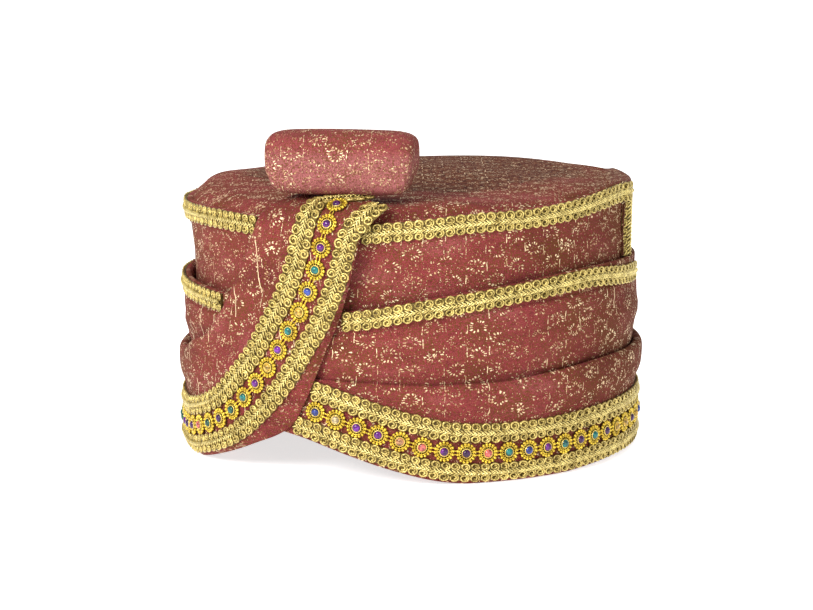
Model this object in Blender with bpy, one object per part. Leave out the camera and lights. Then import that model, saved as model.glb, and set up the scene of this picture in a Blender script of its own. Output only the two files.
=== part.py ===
"""A tied turban: a domed cap wound with three stepped wraps of brocade.

The lowest wrap carries a jewelled border round the hem, climbs over the other two at the front left
and ends under a padded roll on the crown. The frame has its origin on the floor under the middle of
the cap, +Z up, with the front of the turban towards -Y. A turn is an angle in degrees from the front,
growing towards +X.
"""

import math

import bmesh
import bpy
import numpy as np
from mathutils import Vector

# Cap and cloth, in metres
HEAD_RADIUS = 0.0970
BODY_HEIGHT = 0.1362
WOUND_WALL = 0.0110
CROWN_SKIN = 0.0030
CROWN_TILT = 0.0023
CLOTH = 0.0024
SEAT_GAP = 0.0003

# Heights of the wraps' upper edges at the front, and how far their lips stand out
UPPER_LIP_HEIGHT = 0.946 * BODY_HEIGHT
MIDDLE_LIP_HEIGHT = 0.662 * BODY_HEIGHT
LOWER_LIP_HEIGHT = 0.360 * BODY_HEIGHT
UPPER_FLARE = 0.0042
MIDDLE_FLARE = 0.0026
MIDDLE_BULGE = 0.0022
UPPER_FOOT_HEIGHT = 0.455 * BODY_HEIGHT
MIDDLE_FOOT_HEIGHT = 0.0070

# The lowest wrap, measured across from the line of the jewelled chain
ARCH_HEIGHT = 0.0225
RIM_CLEARANCE = 1.08
WRAP_ABOVE = 0.0430
FOLD_STRIP = 0.0110
LIP_BULGE = 0.0034
LIP_ROUND = 0.0042
OVERLAP_LIFT = 0.0037
SASH_FOLD = 0.0019
FOLD_EDGE = 0.0008

# Flap of cloth on the right, whose front edge carries an upright gimp
FLAP_START = 71.5
FLAP_END = 107.0
FLAP_REACH = 0.0065
FLAP_CLOTH = 0.0014

# Gold gimp braid and jewelled chain
GIMP_WIDTH = 0.0100
GIMP_THICKNESS = 0.0022
GIMP_CHAMFER = 0.0012
ROSETTE_DIAMETER = 0.0103
ROSETTE_THICKNESS = 0.0015
ROSETTE_DOME = 0.0006
CHAIN_PITCH = 0.0109
STONE_DIAMETER = 0.0044
STONE_HEIGHT = 0.0011
STONE_TABLE = 0.55

# Padded roll on the crown
ROLL_LENGTH = 0.0735
ROLL_HEIGHT = 0.0300
ROLL_DEPTH = 0.0300
ROLL_TURN = -20.2
ROLL_YAW = 11.0
ROLL_SET_IN = 0.0110

# Fineness of the faceted solids
RING_SEGMENTS = 40
CLIMB_STEP = 0.0105
ROSETTE_SIDES = 10
STONE_SIDES = 8
ROLL_SEGMENTS = 18
ROLL_RINGS = 12

# Sizes that follow from the ones above
CROWN_SIDE = HEAD_RADIUS + WOUND_WALL
HOLLOW_HEIGHT = BODY_HEIGHT - CROWN_SKIN
UPPER_WAIST = CROWN_SIDE + SEAT_GAP + CLOTH
MIDDLE_WAIST = UPPER_WAIST + SEAT_GAP + CLOTH
LOWER_WAIST = MIDDLE_WAIST + SEAT_GAP + CLOTH
CHAIN_HALF = ROSETTE_DIAMETER / 2 + SEAT_GAP
BORDER_HALF = CHAIN_HALF + GIMP_WIDTH

# The cap's dome from its lower edge to the middle, and the head hollow under it from the middle
# back down, as shares of CROWN_SIDE and BODY_HEIGHT, and of HEAD_RADIUS and the hollow's height
DOME_ROWS = (
    # radius, height
    (1.000, 0.892),
    (1.000, 0.920),
    (0.992, 0.950),
    (0.968, 0.969),
    (0.915, 0.979),
    (0.760, 0.988),
    (0.400, 0.997),
)
HOLLOW_ROWS = (
    # radius, height
    (0.450, 0.990),
    (0.800, 0.960),
    (0.950, 0.907),
)

# The wall of wound layers under the dome: outer side up, and the hollow's side down
WALL_ROWS = (
    # radius, height
    (1.000, 0.000),
    (1.000, 0.887),
)
WALL_HOLLOW_ROWS = (
    # radius, height
    (0.950, 0.900),
    (0.990, 0.780),
    (1.000, 0.000),
)

# Upper edges of the wraps round the cap, as shares of each wrap's own front height, and the share
# of the flare there
UPPER_EDGE_ROWS = (
    # turn, height, flare
    (-180.0, 1.008, 0.60),
    (-135.0, 0.985, 0.80),
    (-90.0, 0.965, 1.00),
    (-50.0, 0.980, 0.95),
    (-15.0, 0.979, 0.60),
    (1.0, 1.000, 0.40),
    (15.0, 1.027, 0.30),
    (36.0, 1.059, 0.15),
    (62.0, 1.064, 0.05),
    (90.0, 1.047, 0.05),
    (135.0, 1.028, 0.35),
)
MIDDLE_EDGE_ROWS = (
    # turn, height, flare
    (-180.0, 1.040, 0.80),
    (-135.0, 1.000, 0.95),
    (-90.0, 0.960, 1.00),
    (-55.0, 0.945, 0.95),
    (-17.0, 0.927, 0.70),
    (3.0, 1.003, 0.60),
    (27.0, 1.072, 0.60),
    (44.0, 1.109, 0.60),
    (71.0, 1.123, 0.60),
    (90.0, 1.116, 0.60),
    (135.0, 1.082, 0.70),
)

# The rim's arch at the front left, as shares of ARCH_HEIGHT
ARCH_ROWS = (
    # turn, height
    (-64.0, 0.00),
    (-56.0, 0.08),
    (-50.0, 0.25),
    (-42.0, 0.57),
    (-34.0, 0.90),
    (-27.0, 1.03),
    (-20.0, 0.92),
    (-10.0, 0.60),
    (0.0, 0.30),
    (10.0, 0.06),
    (18.0, 0.00),
)

# The lowest wrap from its hidden start, once round the cap and up to the crown. The chain's height
# is a share of BODY_HEIGHT, and the other columns are shares of the named sizes: the cloth above
# the chain (WRAP_ABOVE), the plain strip beyond the border (FOLD_STRIP), the lip's bulge
# (LIP_BULGE), the lift over what it crosses (OVERLAP_LIFT) and the border's padding (SASH_FOLD).
CHAIN_ROUTE = (
    # turn, chain height, above, strip, bulge, lift, padding
    (-38.0, 0.288, 0.25, 0.00, 0.02, 0.00, 0.0),
    (-24.2, 0.255, 0.36, 0.00, 0.06, 0.00, 0.0),
    (-13.1, 0.207, 0.52, 0.00, 0.35, 0.00, 0.0),
    (-2.2, 0.159, 0.66, 0.00, 0.70, 0.00, 0.0),
    (8.5, 0.122, 0.77, 0.00, 0.90, 0.00, 0.0),
    (22.0, 0.109, 0.81, 0.00, 1.00, 0.00, 0.0),
    (37.0, 0.111, 0.86, 0.00, 1.00, 0.00, 0.0),
    (51.0, 0.119, 0.88, 0.00, 1.00, 0.00, 0.0),
    (72.0, 0.124, 0.86, 0.00, 1.00, 0.00, 0.0),
    (100.0, 0.122, 0.85, 0.00, 1.00, 0.00, 0.0),
    (140.0, 0.117, 0.85, 0.00, 1.00, 0.00, 0.0),
    (180.0, 0.112, 0.86, 0.00, 1.00, 0.00, 0.0),
    (220.0, 0.104, 0.88, 0.00, 1.00, 0.00, 0.0),
    (250.0, 0.092, 0.87, 0.00, 1.00, 0.00, 0.0),
    (272.0, 0.086, 0.87, 0.00, 1.00, 0.00, 0.0),
    (284.0, 0.090, 0.90, 0.00, 0.78, 0.06, 0.0),
    (292.0, 0.101, 0.96, 0.00, 0.55, 0.42, 0.2),
    (300.0, 0.125, 1.00, 0.02, 0.30, 0.85, 0.4),
    (307.0, 0.158, 1.00, 0.06, 0.10, 1.00, 0.7),
    (313.5, 0.208, 1.00, 0.26, 0.00, 1.00, 1.0),
    (318.0, 0.266, 1.00, 0.70, 0.00, 1.00, 1.0),
    (322.0, 0.328, 1.00, 1.00, 0.00, 1.00, 1.0),
    (325.5, 0.391, 0.99, 0.90, 0.00, 1.00, 1.0),
    (328.3, 0.455, 0.98, 0.78, 0.00, 1.00, 1.0),
    (331.0, 0.525, 0.96, 0.68, 0.00, 1.00, 1.0),
    (334.1, 0.603, 0.95, 0.45, 0.00, 1.00, 1.0),
    (336.3, 0.680, 0.95, 0.30, 0.00, 1.00, 1.0),
    (338.1, 0.758, 0.94, 0.12, 0.00, 1.00, 1.0),
    (339.5, 0.842, 0.92, 0.06, 0.00, 1.00, 1.0),
    (340.8, 0.927, 0.90, 0.05, 0.00, 1.00, 0.9),
    (342.2, 1.000, 0.88, 0.05, 0.00, 1.00, 0.7),
    (344.0, 1.080, 0.85, 0.05, 0.00, 1.00, 0.5),
)

# How the climbing cloth leans in over the cap's shoulder: length up the cloth and height as shares
# of BODY_HEIGHT, and the way inwards as a share of CROWN_SIDE
DRAPE_ROWS = (
    # length, inwards, height
    (-0.100, 0.000, -0.100),
    (0.000, 0.000, 0.000),
    (0.760, 0.000, 0.760),
    (0.818, 0.001, 0.818),
    (0.876, 0.003, 0.875),
    (0.922, 0.017, 0.921),
    (0.953, 0.050, 0.948),
    (0.985, 0.089, 0.960),
    (1.020, 0.128, 0.972),
    (1.070, 0.188, 0.981),
    (1.120, 0.251, 0.987),
    (1.400, 0.600, 1.030),
)

# Ends of the trims where they meet the climbing fold, in degrees
UPPER_GIMP_START = -10.8
UPPER_GIMP_END = -43.5
MIDDLE_GIMP_START = -14.2
MIDDLE_GIMP_END = -55.5
MIDDLE_GIMP_STOP = 76.0
BORDER_TOP_START = -21.0
BORDER_BOTTOM_START = -26.0
CHAIN_START = -22.4
SASH_TURN = 289.0
BORDER_END_LENGTH = 0.982

PALETTE = {
    "brocade": ((0.360, 0.075, 0.095), 0.62, 0.0),
    "crown_brocade": ((0.250, 0.070, 0.062), 0.66, 0.0),
    "roll_brocade": ((0.470, 0.110, 0.125), 0.70, 0.0),
    "gimp_gold": ((0.720, 0.560, 0.180), 0.42, 0.8),
    "chain_gold": ((0.800, 0.520, 0.060), 0.34, 0.9),
}


def smooth(rows, key):
    """Value of every column of a table at key, on one smooth curve through its rows."""
    table = np.asarray(rows, dtype=float)
    keys, values = table[:, 0], table[:, 1:]
    slopes = np.gradient(values, keys, axis=0)
    index = int(np.clip(np.searchsorted(keys, key) - 1, 0, len(keys) - 2))
    span = keys[index + 1] - keys[index]
    share = (key - keys[index]) / span
    square, cube = share * share, share ** 3
    return ((2 * cube - 3 * square + 1) * values[index] + (cube - 2 * square + share) * span * slopes[index]
            + (3 * square - 2 * cube) * values[index + 1] + (cube - square) * span * slopes[index + 1])


def round_table(rows, turn):
    """The same, for a table that repeats every full turn."""
    first = [tuple([row[0] - 360.0]) + tuple(row[1:]) for row in rows[-2:]]
    last = [tuple([row[0] + 360.0]) + tuple(row[1:]) for row in rows[:2]]
    return smooth(first + list(rows) + last, (turn + 180.0) % 360.0 - 180.0)


def place(turn, radius, height):
    """Point at a turn round the cap's axis."""
    angle = math.radians(turn)
    return Vector((radius * math.sin(angle), -radius * math.cos(angle), height))


def tilt(turn, radius, height):
    """How much the cap's top rises towards the right."""
    return CROWN_TILT * math.sin(math.radians(turn)) * radius / CROWN_SIDE * height / BODY_HEIGHT


def arch(turn):
    """Height of the rim's arch."""
    signed = (turn + 180.0) % 360.0 - 180.0
    if signed <= ARCH_ROWS[0][0] or signed >= ARCH_ROWS[-1][0]:
        return 0.0
    return max(0.0, float(smooth(ARCH_ROWS, signed)[0])) * ARCH_HEIGHT


def ring_turns():
    """The turns of the sections that go once round the cap."""
    return [360.0 * step / RING_SEGMENTS - 180.0 for step in range(RING_SEGMENTS)]


def turns_between(start, end):
    """A start, the ring's sections after it, and an end."""
    inner = [turn + lap for lap in (0.0, 360.0) for turn in ring_turns()]
    margin = 60.0 / RING_SEGMENTS
    return [start] + [turn for turn in inner if start + margin < turn < end - margin] + [end]


def material(name):
    """A plain finish from the palette."""
    colour, roughness, metallic = PALETTE[name]
    finish = bpy.data.materials.get(name) or bpy.data.materials.new(name)
    finish.use_nodes = True
    shader = finish.node_tree.nodes["Principled BSDF"]
    shader.inputs["Base Color"].default_value = (*colour, 1.0)
    shader.inputs["Roughness"].default_value = roughness
    shader.inputs["Metallic"].default_value = metallic
    finish.diffuse_color = (*colour, 1.0)
    return finish


def finish_object(name, shape, finish, collection, sharp=50.0):
    """Turn a bmesh into a named object with its faces pointing out."""
    bmesh.ops.recalc_face_normals(shape, faces=shape.faces)
    mesh = bpy.data.meshes.new(name)
    shape.to_mesh(mesh)
    shape.free()
    mesh.materials.append(material(finish))
    mesh.shade_smooth()
    mesh.set_sharp_from_angle(angle=math.radians(sharp))
    piece = bpy.data.objects.new(name, mesh)
    collection.objects.link(piece)
    return piece


def loft(name, sections, finish, collection, closed=False):
    """A solid through closed sections with the same number of points, round a ring or with two ends."""
    shape = bmesh.new()
    rows = [[shape.verts.new(point) for point in section] for section in sections]
    count = len(rows[0])
    pairs = list(zip(rows, rows[1:]))
    if closed:
        pairs.append((rows[-1], rows[0]))
    for near, far in pairs:
        for index in range(count):
            after = (index + 1) % count
            shape.faces.new((near[index], near[after], far[after], far[index]))
    if not closed:
        shape.faces.new(rows[0])
        shape.faces.new(rows[-1])
    return finish_object(name, shape, finish, collection)


def cap_point(turn, radius, height):
    """Point of the cap, tilted and cut off at the rim's arch."""
    return place(turn, radius, max(height + tilt(turn, radius, height), arch(turn) * RIM_CLEARANCE))


def cap_column(turn, outer_rows, hollow_rows):
    """Points of one section of the cap, up its outer side and down the hollow's."""
    outer = [cap_point(turn, radius * CROWN_SIDE, height * BODY_HEIGHT) for radius, height in outer_rows]
    return outer + [cap_point(turn, radius * HEAD_RADIUS, height * HOLLOW_HEIGHT) for radius, height in hollow_rows]


def crown_wall(collection):
    """The wall of wound layers round the head hollow."""
    sections = [cap_column(turn, WALL_ROWS, WALL_HOLLOW_ROWS) for turn in ring_turns()]
    return loft("crown_wall", sections, "crown_brocade", collection, closed=True)


def crown_top(collection):
    """The low padded dome that closes the cap."""
    shape = bmesh.new()
    rings = [[shape.verts.new(point) for point in cap_column(turn, DOME_ROWS, HOLLOW_ROWS)] for turn in ring_turns()]
    top = shape.verts.new((0.0, 0.0, BODY_HEIGHT))
    roof = shape.verts.new((0.0, 0.0, HOLLOW_HEIGHT))
    crest = len(DOME_ROWS) - 1
    count = len(rings[0])
    for near, far in zip(rings, rings[1:] + rings[:1]):
        for index in range(count):
            after = (index + 1) % count
            if index == crest:
                shape.faces.new((near[index], top, far[index]))
                shape.faces.new((near[after], far[after], roof))
            else:
                shape.faces.new((near[index], near[after], far[after], far[index]))
    return finish_object("crown_top", shape, "crown_brocade", collection)


def upper_edge(turn):
    """Height and flare of the upper wrap's lip."""
    height, flare = round_table(UPPER_EDGE_ROWS, turn)
    return height * UPPER_LIP_HEIGHT, flare * UPPER_FLARE


def middle_edge(turn):
    """Height and flare of the middle wrap's lip."""
    height, flare = round_table(MIDDLE_EDGE_ROWS, turn)
    return height * MIDDLE_LIP_HEIGHT, flare * MIDDLE_FLARE


def lip_line(turn, edge, waist):
    """The wrap's face under its lip, where a gimp is sewn: top and bottom as radius and height."""
    height, flare = edge(turn)
    start = height - SEAT_GAP * 2
    return (waist + flare, start), (waist + flare * 0.85, start - GIMP_WIDTH)


def wrap_ring(name, edge, waist, bulge, next_lip, foot, collection):
    """One wrap: its lip, its face, the crease above the next lip and the hidden foot."""
    sections = []
    for turn in ring_turns():
        height, flare = edge(turn)
        below = next_lip(turn) + SEAT_GAP * 6
        base = foot(turn)
        top, bottom = lip_line(turn, edge, waist)
        belly = bottom[1] * 0.58 + below * 0.42
        profile = (
            (waist + flare * 0.7 - CLOTH * 0.5, height),
            top,
            bottom,
            (waist + bulge + flare * 0.30, belly),
            (waist, below),
            (waist, base),
            (waist - CLOTH, base),
            (waist - CLOTH, belly),
            (waist - CLOTH + flare * 0.40, height - CLOTH * 0.6),
        )
        sections.append([place(turn, radius, level) for radius, level in profile])
    return loft(name, sections, "brocade", collection, closed=True)


def route_table():
    """The route's rows, keyed by the distance along the chain."""
    rows = np.asarray(CHAIN_ROUTE)
    along = np.radians(rows[:, 0]) * LOWER_WAIST
    up = rows[:, 1] * BODY_HEIGHT
    steps = np.hypot(np.diff(along), np.diff(up))
    distance = np.concatenate(([0.0], np.cumsum(steps)))
    return np.column_stack((distance, rows))


ROUTE = route_table()


def route(distance):
    """Turn, chain height and the wrap's measures at a distance along the chain, with its lean."""
    turn, height, above, strip, bulge, lift, padding = smooth(ROUTE, distance)
    step = 0.001
    back, ahead = smooth(ROUTE, distance - step), smooth(ROUTE, distance + step)
    along = math.radians(ahead[0] - back[0]) * LOWER_WAIST
    up = (ahead[1] - back[1]) * BODY_HEIGHT
    return {
        "turn": turn,
        "height": height * BODY_HEIGHT,
        "above": above * WRAP_ABOVE,
        "strip": max(strip, 0.0) * FOLD_STRIP,
        "bulge": max(bulge, 0.0) * LIP_BULGE,
        "wall": LOWER_WAIST - CLOTH + max(lift, 0.0) * OVERLAP_LIFT,
        "border": CLOTH + max(padding, 0.0) * SASH_FOLD,
        "padding": max(padding, 0.0),
        "lean": math.atan2(up, along),
    }


def drape(row, across, cover):
    """Point of the wrap at a distance across it from the chain, cover above its inner face."""
    turn = row["turn"] - math.degrees(across * math.sin(row["lean"]) / LOWER_WAIST)
    length = (row["height"] + across * math.cos(row["lean"])) / BODY_HEIGHT
    inwards, height = smooth(DRAPE_ROWS, length)
    step = 0.002
    back, ahead = smooth(DRAPE_ROWS, length - step), smooth(DRAPE_ROWS, length + step)
    out, rise = (ahead[1] - back[1]) * BODY_HEIGHT, (ahead[0] - back[0]) * CROWN_SIDE
    size = math.hypot(out, rise)
    radius = row["wall"] - inwards * CROWN_SIDE + cover * out / size
    return place(turn, radius, max(height * BODY_HEIGHT, 0.0) + cover * rise / size)


def border_reach(row):
    """How far the border reaches below the chain before the floor cuts it short."""
    return min(BORDER_HALF, row["height"] / math.cos(row["lean"]))


def lower_section(row):
    """Closed section of the lowest wrap, across the chain."""
    reach = border_reach(row)
    foot = reach + row["strip"]
    edge = CLOTH * 0.7 * (1.0 - row["padding"]) + FOLD_EDGE * row["padding"]
    above = row["above"]
    shoulder = min(BORDER_HALF, above * 0.9)
    crest = max(above - LIP_ROUND, shoulder + 0.4 * (above - shoulder))
    middle = (shoulder + crest) / 2
    bulge = row["bulge"]
    return [
        drape(row, -foot, edge),
        drape(row, -reach + SEAT_GAP * 2, row["border"]),
        drape(row, -CHAIN_HALF, row["border"]),
        drape(row, shoulder, row["border"]),
        drape(row, middle, CLOTH + bulge * 0.9),
        drape(row, crest, CLOTH + bulge),
        drape(row, above, CLOTH * 0.5 + bulge * 0.7),
        drape(row, above - CLOTH * 0.4, bulge * 0.4),
        drape(row, middle, 0.0),
        drape(row, shoulder * 0.8, 0.0),
        drape(row, -CHAIN_HALF, 0.0),
        drape(row, -foot, 0.0),
    ]


def distance_of(turn):
    """Distance along the chain where the wrap has reached a turn."""
    dense = np.linspace(ROUTE[0, 0], ROUTE[-1, 0], 2000)
    turns = np.array([smooth(ROUTE, distance)[0] for distance in dense])
    return float(np.interp(turn, turns, dense))


def wrap_stations():
    """Distances of the wrap's sections: at the ring's turns while it goes round, then by length."""
    turns = turns_between(CHAIN_ROUTE[0][0], SASH_TURN)
    ring = [float(ROUTE[0, 0])] + [distance_of(turn) for turn in turns[1:-1]]
    left = float(ROUTE[-1, 0]) - ring[-1]
    steps = max(1, round(left / CLIMB_STEP))
    return ring + [ring[-1] + left * step / steps for step in range(1, steps + 1)]


def stations_between(start, end):
    """A start, the wrap's sections after it, and an end."""
    margin = CLIMB_STEP * 0.25
    inner = [distance for distance in STATIONS if start + margin < distance < end - margin]
    return [start] + inner + [end]


def border_end():
    """Distance along the chain where the border's trims end under the roll."""
    rows = np.asarray(ROUTE)
    return float(np.interp(BORDER_END_LENGTH, rows[-4:, 2], rows[-4:, 0]))


STATIONS = wrap_stations()


def wrap_lower(collection):
    """The lowest wrap, round the cap and up over the others to the crown."""
    sections = [lower_section(route(distance)) for distance in STATIONS]
    return loft("wrap_lower", sections, "brocade", collection)


def gimp_section(low, high, out):
    """A flat braid's section on the line from low to high, raised towards out."""
    along = (high - low).normalized()
    out = (out - along * out.dot(along)).normalized()
    seat, face = out * SEAT_GAP, out * (SEAT_GAP + GIMP_THICKNESS)
    chamfer = min(GIMP_CHAMFER, (high - low).length * 0.3)
    return [low + seat, high + seat, high + face - along * chamfer, low + face + along * chamfer]


def lip_gimp(name, edge, waist, start, end, collection):
    """Gimp sewn under a wrap's lip, from one turn to another."""
    sections = []
    for turn in turns_between(start, end):
        top, bottom = lip_line(turn, edge, waist)
        sections.append(gimp_section(place(turn, *bottom), place(turn, *top), place(turn, 1.0, 0.0)))
    return loft(name, sections, "gimp_gold", collection)


def border_gimp(name, start_turn, side, collection):
    """Gimp along one side of the jewelled chain, side 1 above it and -1 below."""
    sections = []
    for distance in stations_between(distance_of(start_turn), border_end()):
        row = route(distance)
        if side > 0:
            near, far = CHAIN_HALF, BORDER_HALF
            low, high = border_chord(row, near), border_chord(row, far)
        else:
            near, far = -border_reach(row) + SEAT_GAP * 2, -CHAIN_HALF
            low, high = drape(row, near, row["border"]), drape(row, far, row["border"])
        raised = drape(row, (near + far) / 2, row["border"] + GIMP_THICKNESS)
        flat = drape(row, (near + far) / 2, row["border"])
        sections.append(gimp_section(low, high, raised - flat))
    return loft(name, sections, "gimp_gold", collection)


def border_chord(row, across):
    """Point on the border's flat face between the lower gimp and the border's top."""
    top = min(BORDER_HALF, row["above"] * 0.9)
    low, high = drape(row, -CHAIN_HALF, row["border"]), drape(row, top, row["border"])
    return low + (high - low) * (across + CHAIN_HALF) / (top + CHAIN_HALF)


def rosette_frame(distance):
    """Seat, way along, way across and way out of a rosette on the border."""
    row = route(distance)
    centre = border_chord(row, 0.0)
    across = (border_chord(row, CHAIN_HALF) - centre).normalized()
    step = 0.002
    along = border_chord(route(distance + step), 0.0) - border_chord(route(distance - step), 0.0)
    along = (along - across * along.dot(across)).normalized()
    out = along.cross(across)
    if out.dot(drape(row, 0.0, row["border"] + GIMP_THICKNESS) - drape(row, 0.0, row["border"])) < 0:
        out = -out
    return centre + out * SEAT_GAP * 1.3, along, across, out


def jewel_chain(name, start, end, goes_on, collection):
    """Linked rosettes, each a round setting fused to a cut stone with a table and eight facets.

    A chain that goes on ends in a link that reaches for the next chain.
    """
    count = int((end - start) / CHAIN_PITCH) + 1
    shape = bmesh.new()
    half_side = math.pi / ROSETTE_SIDES
    previous = None
    for index in range(count):
        centre, along, across, out = rosette_frame(start + index * CHAIN_PITCH)

        def ring(sides, radius, level, offset):
            corners = [offset + 2 * math.pi * side / sides for side in range(sides)]
            return [shape.verts.new(centre + out * level + along * (radius * math.cos(corner))
                                    + across * (radius * math.sin(corner))) for corner in corners]

        girdle_level = ROSETTE_THICKNESS + ROSETTE_DOME
        base = ring(ROSETTE_SIDES, ROSETTE_DIAMETER / 2, 0.0, half_side)
        rim = ring(ROSETTE_SIDES, ROSETTE_DIAMETER / 2, ROSETTE_THICKNESS, half_side)
        girdle = ring(STONE_SIDES, STONE_DIAMETER / 2, girdle_level, half_side)
        table = ring(STONE_SIDES, STONE_DIAMETER / 2 * STONE_TABLE, girdle_level + STONE_HEIGHT, half_side)
        shape.faces.new(base)
        shape.faces.new(table)
        ahead_side, back_side = ROSETTE_SIDES - 1, ROSETTE_SIDES // 2 - 1
        for side in range(ROSETTE_SIDES):
            after = (side + 1) % ROSETTE_SIDES
            open_ahead = side == ahead_side and (goes_on or index < count - 1)
            open_back = side == back_side and index > 0
            if not open_ahead and not open_back:
                shape.faces.new((base[side], base[after], rim[after], rim[side]))
        for side in range(STONE_SIDES):
            after = (side + 1) % STONE_SIDES
            shape.faces.new((girdle[side], girdle[after], table[after], table[side]))
        stitch(shape, rim, girdle)
        back = (base[back_side], base[back_side + 1], rim[back_side + 1], rim[back_side])
        if previous:
            for corner in range(4):
                after = (corner + 1) % 4
                shape.faces.new((previous[corner], previous[after], back[after], back[corner]))
        previous = (base[0], base[ahead_side], rim[ahead_side], rim[0])
    if goes_on:
        reach = along * (CHAIN_PITCH - ROSETTE_DIAMETER * math.cos(half_side) - SEAT_GAP)
        tip = [shape.verts.new(corner.co + reach) for corner in previous]
        for corner in range(4):
            after = (corner + 1) % 4
            shape.faces.new((previous[corner], previous[after], tip[after], tip[corner]))
        shape.faces.new(tip)
    return finish_object(name, shape, "chain_gold", collection, sharp=20.0)


def stitch(shape, outer, inner):
    """Triangles between two rings of unlike counts that start at the same corner."""
    near, far = 0, 0
    while near < len(outer) or far < len(inner):
        near_share, far_share = (near + 1) / len(outer), (far + 1) / len(inner)
        if far >= len(inner) or (near < len(outer) and near_share <= far_share):
            shape.faces.new((outer[near], outer[(near + 1) % len(outer)], inner[far % len(inner)]))
            near += 1
        else:
            shape.faces.new((outer[near % len(outer)], inner[(far + 1) % len(inner)], inner[far]))
            far += 1


def side_flap(collection):
    """Flap of cloth on the right, from over the cap's shoulder down to the middle wrap's lip."""
    sections = []
    for turn in turns_between(FLAP_START, FLAP_END):
        lip, flare = upper_edge(turn)
        middle_lip = middle_edge(turn)[0]
        face = UPPER_WAIST + flare + SEAT_GAP
        shoulder = CROWN_SIDE * 0.97
        shoulder_level = BODY_HEIGHT * 0.972 + tilt(turn, shoulder, BODY_HEIGHT)
        top_level = max(lip, shoulder_level) + SEAT_GAP * 2
        inner_end = CROWN_SIDE - FLAP_REACH
        inner_level = BODY_HEIGHT * 0.984 + tilt(turn, inner_end, BODY_HEIGHT) + SEAT_GAP * 2
        profile = (
            (face, middle_lip + SEAT_GAP * 2),
            (face, lip - FLAP_CLOTH),
            (face, top_level + SEAT_GAP),
            (shoulder, top_level + SEAT_GAP * 2),
            (inner_end, inner_level),
            (inner_end, inner_level + FLAP_CLOTH * 0.5),
            (shoulder, top_level + FLAP_CLOTH + SEAT_GAP * 2),
            (face + FLAP_CLOTH * 0.4, top_level + FLAP_CLOTH * 0.8),
            (face + FLAP_CLOTH, lip - FLAP_CLOTH),
            (face + FLAP_CLOTH * 0.7, middle_lip + SEAT_GAP * 2),
        )
        sections.append([place(turn, radius, level) for radius, level in profile])
    return loft("side_flap", sections, "brocade", collection)


def gimp_side(collection):
    """Upright gimp on the flap's front edge, between the upper and the middle gimp."""
    half = math.degrees(GIMP_WIDTH / 2 / UPPER_WAIST)
    centre = FLAP_START + half
    low_edge, high_edge = middle_edge(centre)[0] + CLOTH, upper_edge(centre)[0] - CLOTH
    sections = []
    for share in (0.0, 0.33, 0.67, 1.0):
        level = low_edge + (high_edge - low_edge) * share
        _, flare = upper_edge(centre)
        radius = UPPER_WAIST + flare + SEAT_GAP + FLAP_CLOTH
        near, far = place(centre - half, radius, level), place(centre + half, radius, level)
        sections.append(gimp_section(near, far, place(centre, 1.0, 0.0)))
    return loft("gimp_side", sections, "gimp_gold", collection)


def top_roll(collection):
    """Padded roll that lies on the crown's front edge, over the end of the climbing wrap."""
    shape = bmesh.new()
    bmesh.ops.create_uvsphere(shape, u_segments=ROLL_SEGMENTS, v_segments=ROLL_RINGS, radius=1.0)
    end_row = route(float(ROUTE[-3, 0]))
    seat = drape(end_row, 0.0, end_row["border"])
    seat_level = max(drape(route(float(ROUTE[-1, 0])), 0.0, CLOTH).z, seat.z)
    radius = CROWN_SIDE - ROLL_SET_IN
    yaw = math.radians(ROLL_YAW)
    centre = place(ROLL_TURN, radius, seat_level + SEAT_GAP * 3 + ROLL_HEIGHT / 2)
    for vertex in shape.verts:
        x, y, z = vertex.co
        ring = math.hypot(x, y)
        squeeze = lambda value, power: math.copysign(abs(value) ** power, value)
        along = squeeze(z, 0.42) * ROLL_LENGTH / 2
        swell = ring ** 0.40
        side = squeeze(x / ring, 0.72) if ring > 1e-6 else 0.0
        rise = squeeze(y / ring, 0.72) if ring > 1e-6 else 0.0
        narrow = 1.0 - 0.035 * max(0.0, -rise)
        local_x = along * narrow
        local_y = side * swell * ROLL_DEPTH / 2
        local_z = rise * swell * ROLL_HEIGHT / 2
        vertex.co = centre + Vector((local_x * math.cos(yaw) + local_y * math.sin(yaw),
                                     -local_x * math.sin(yaw) + local_y * math.cos(yaw), local_z))
    bmesh.ops.remove_doubles(shape, verts=shape.verts, dist=0.00001)
    return finish_object("top_roll", shape, "roll_brocade", collection)


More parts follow.
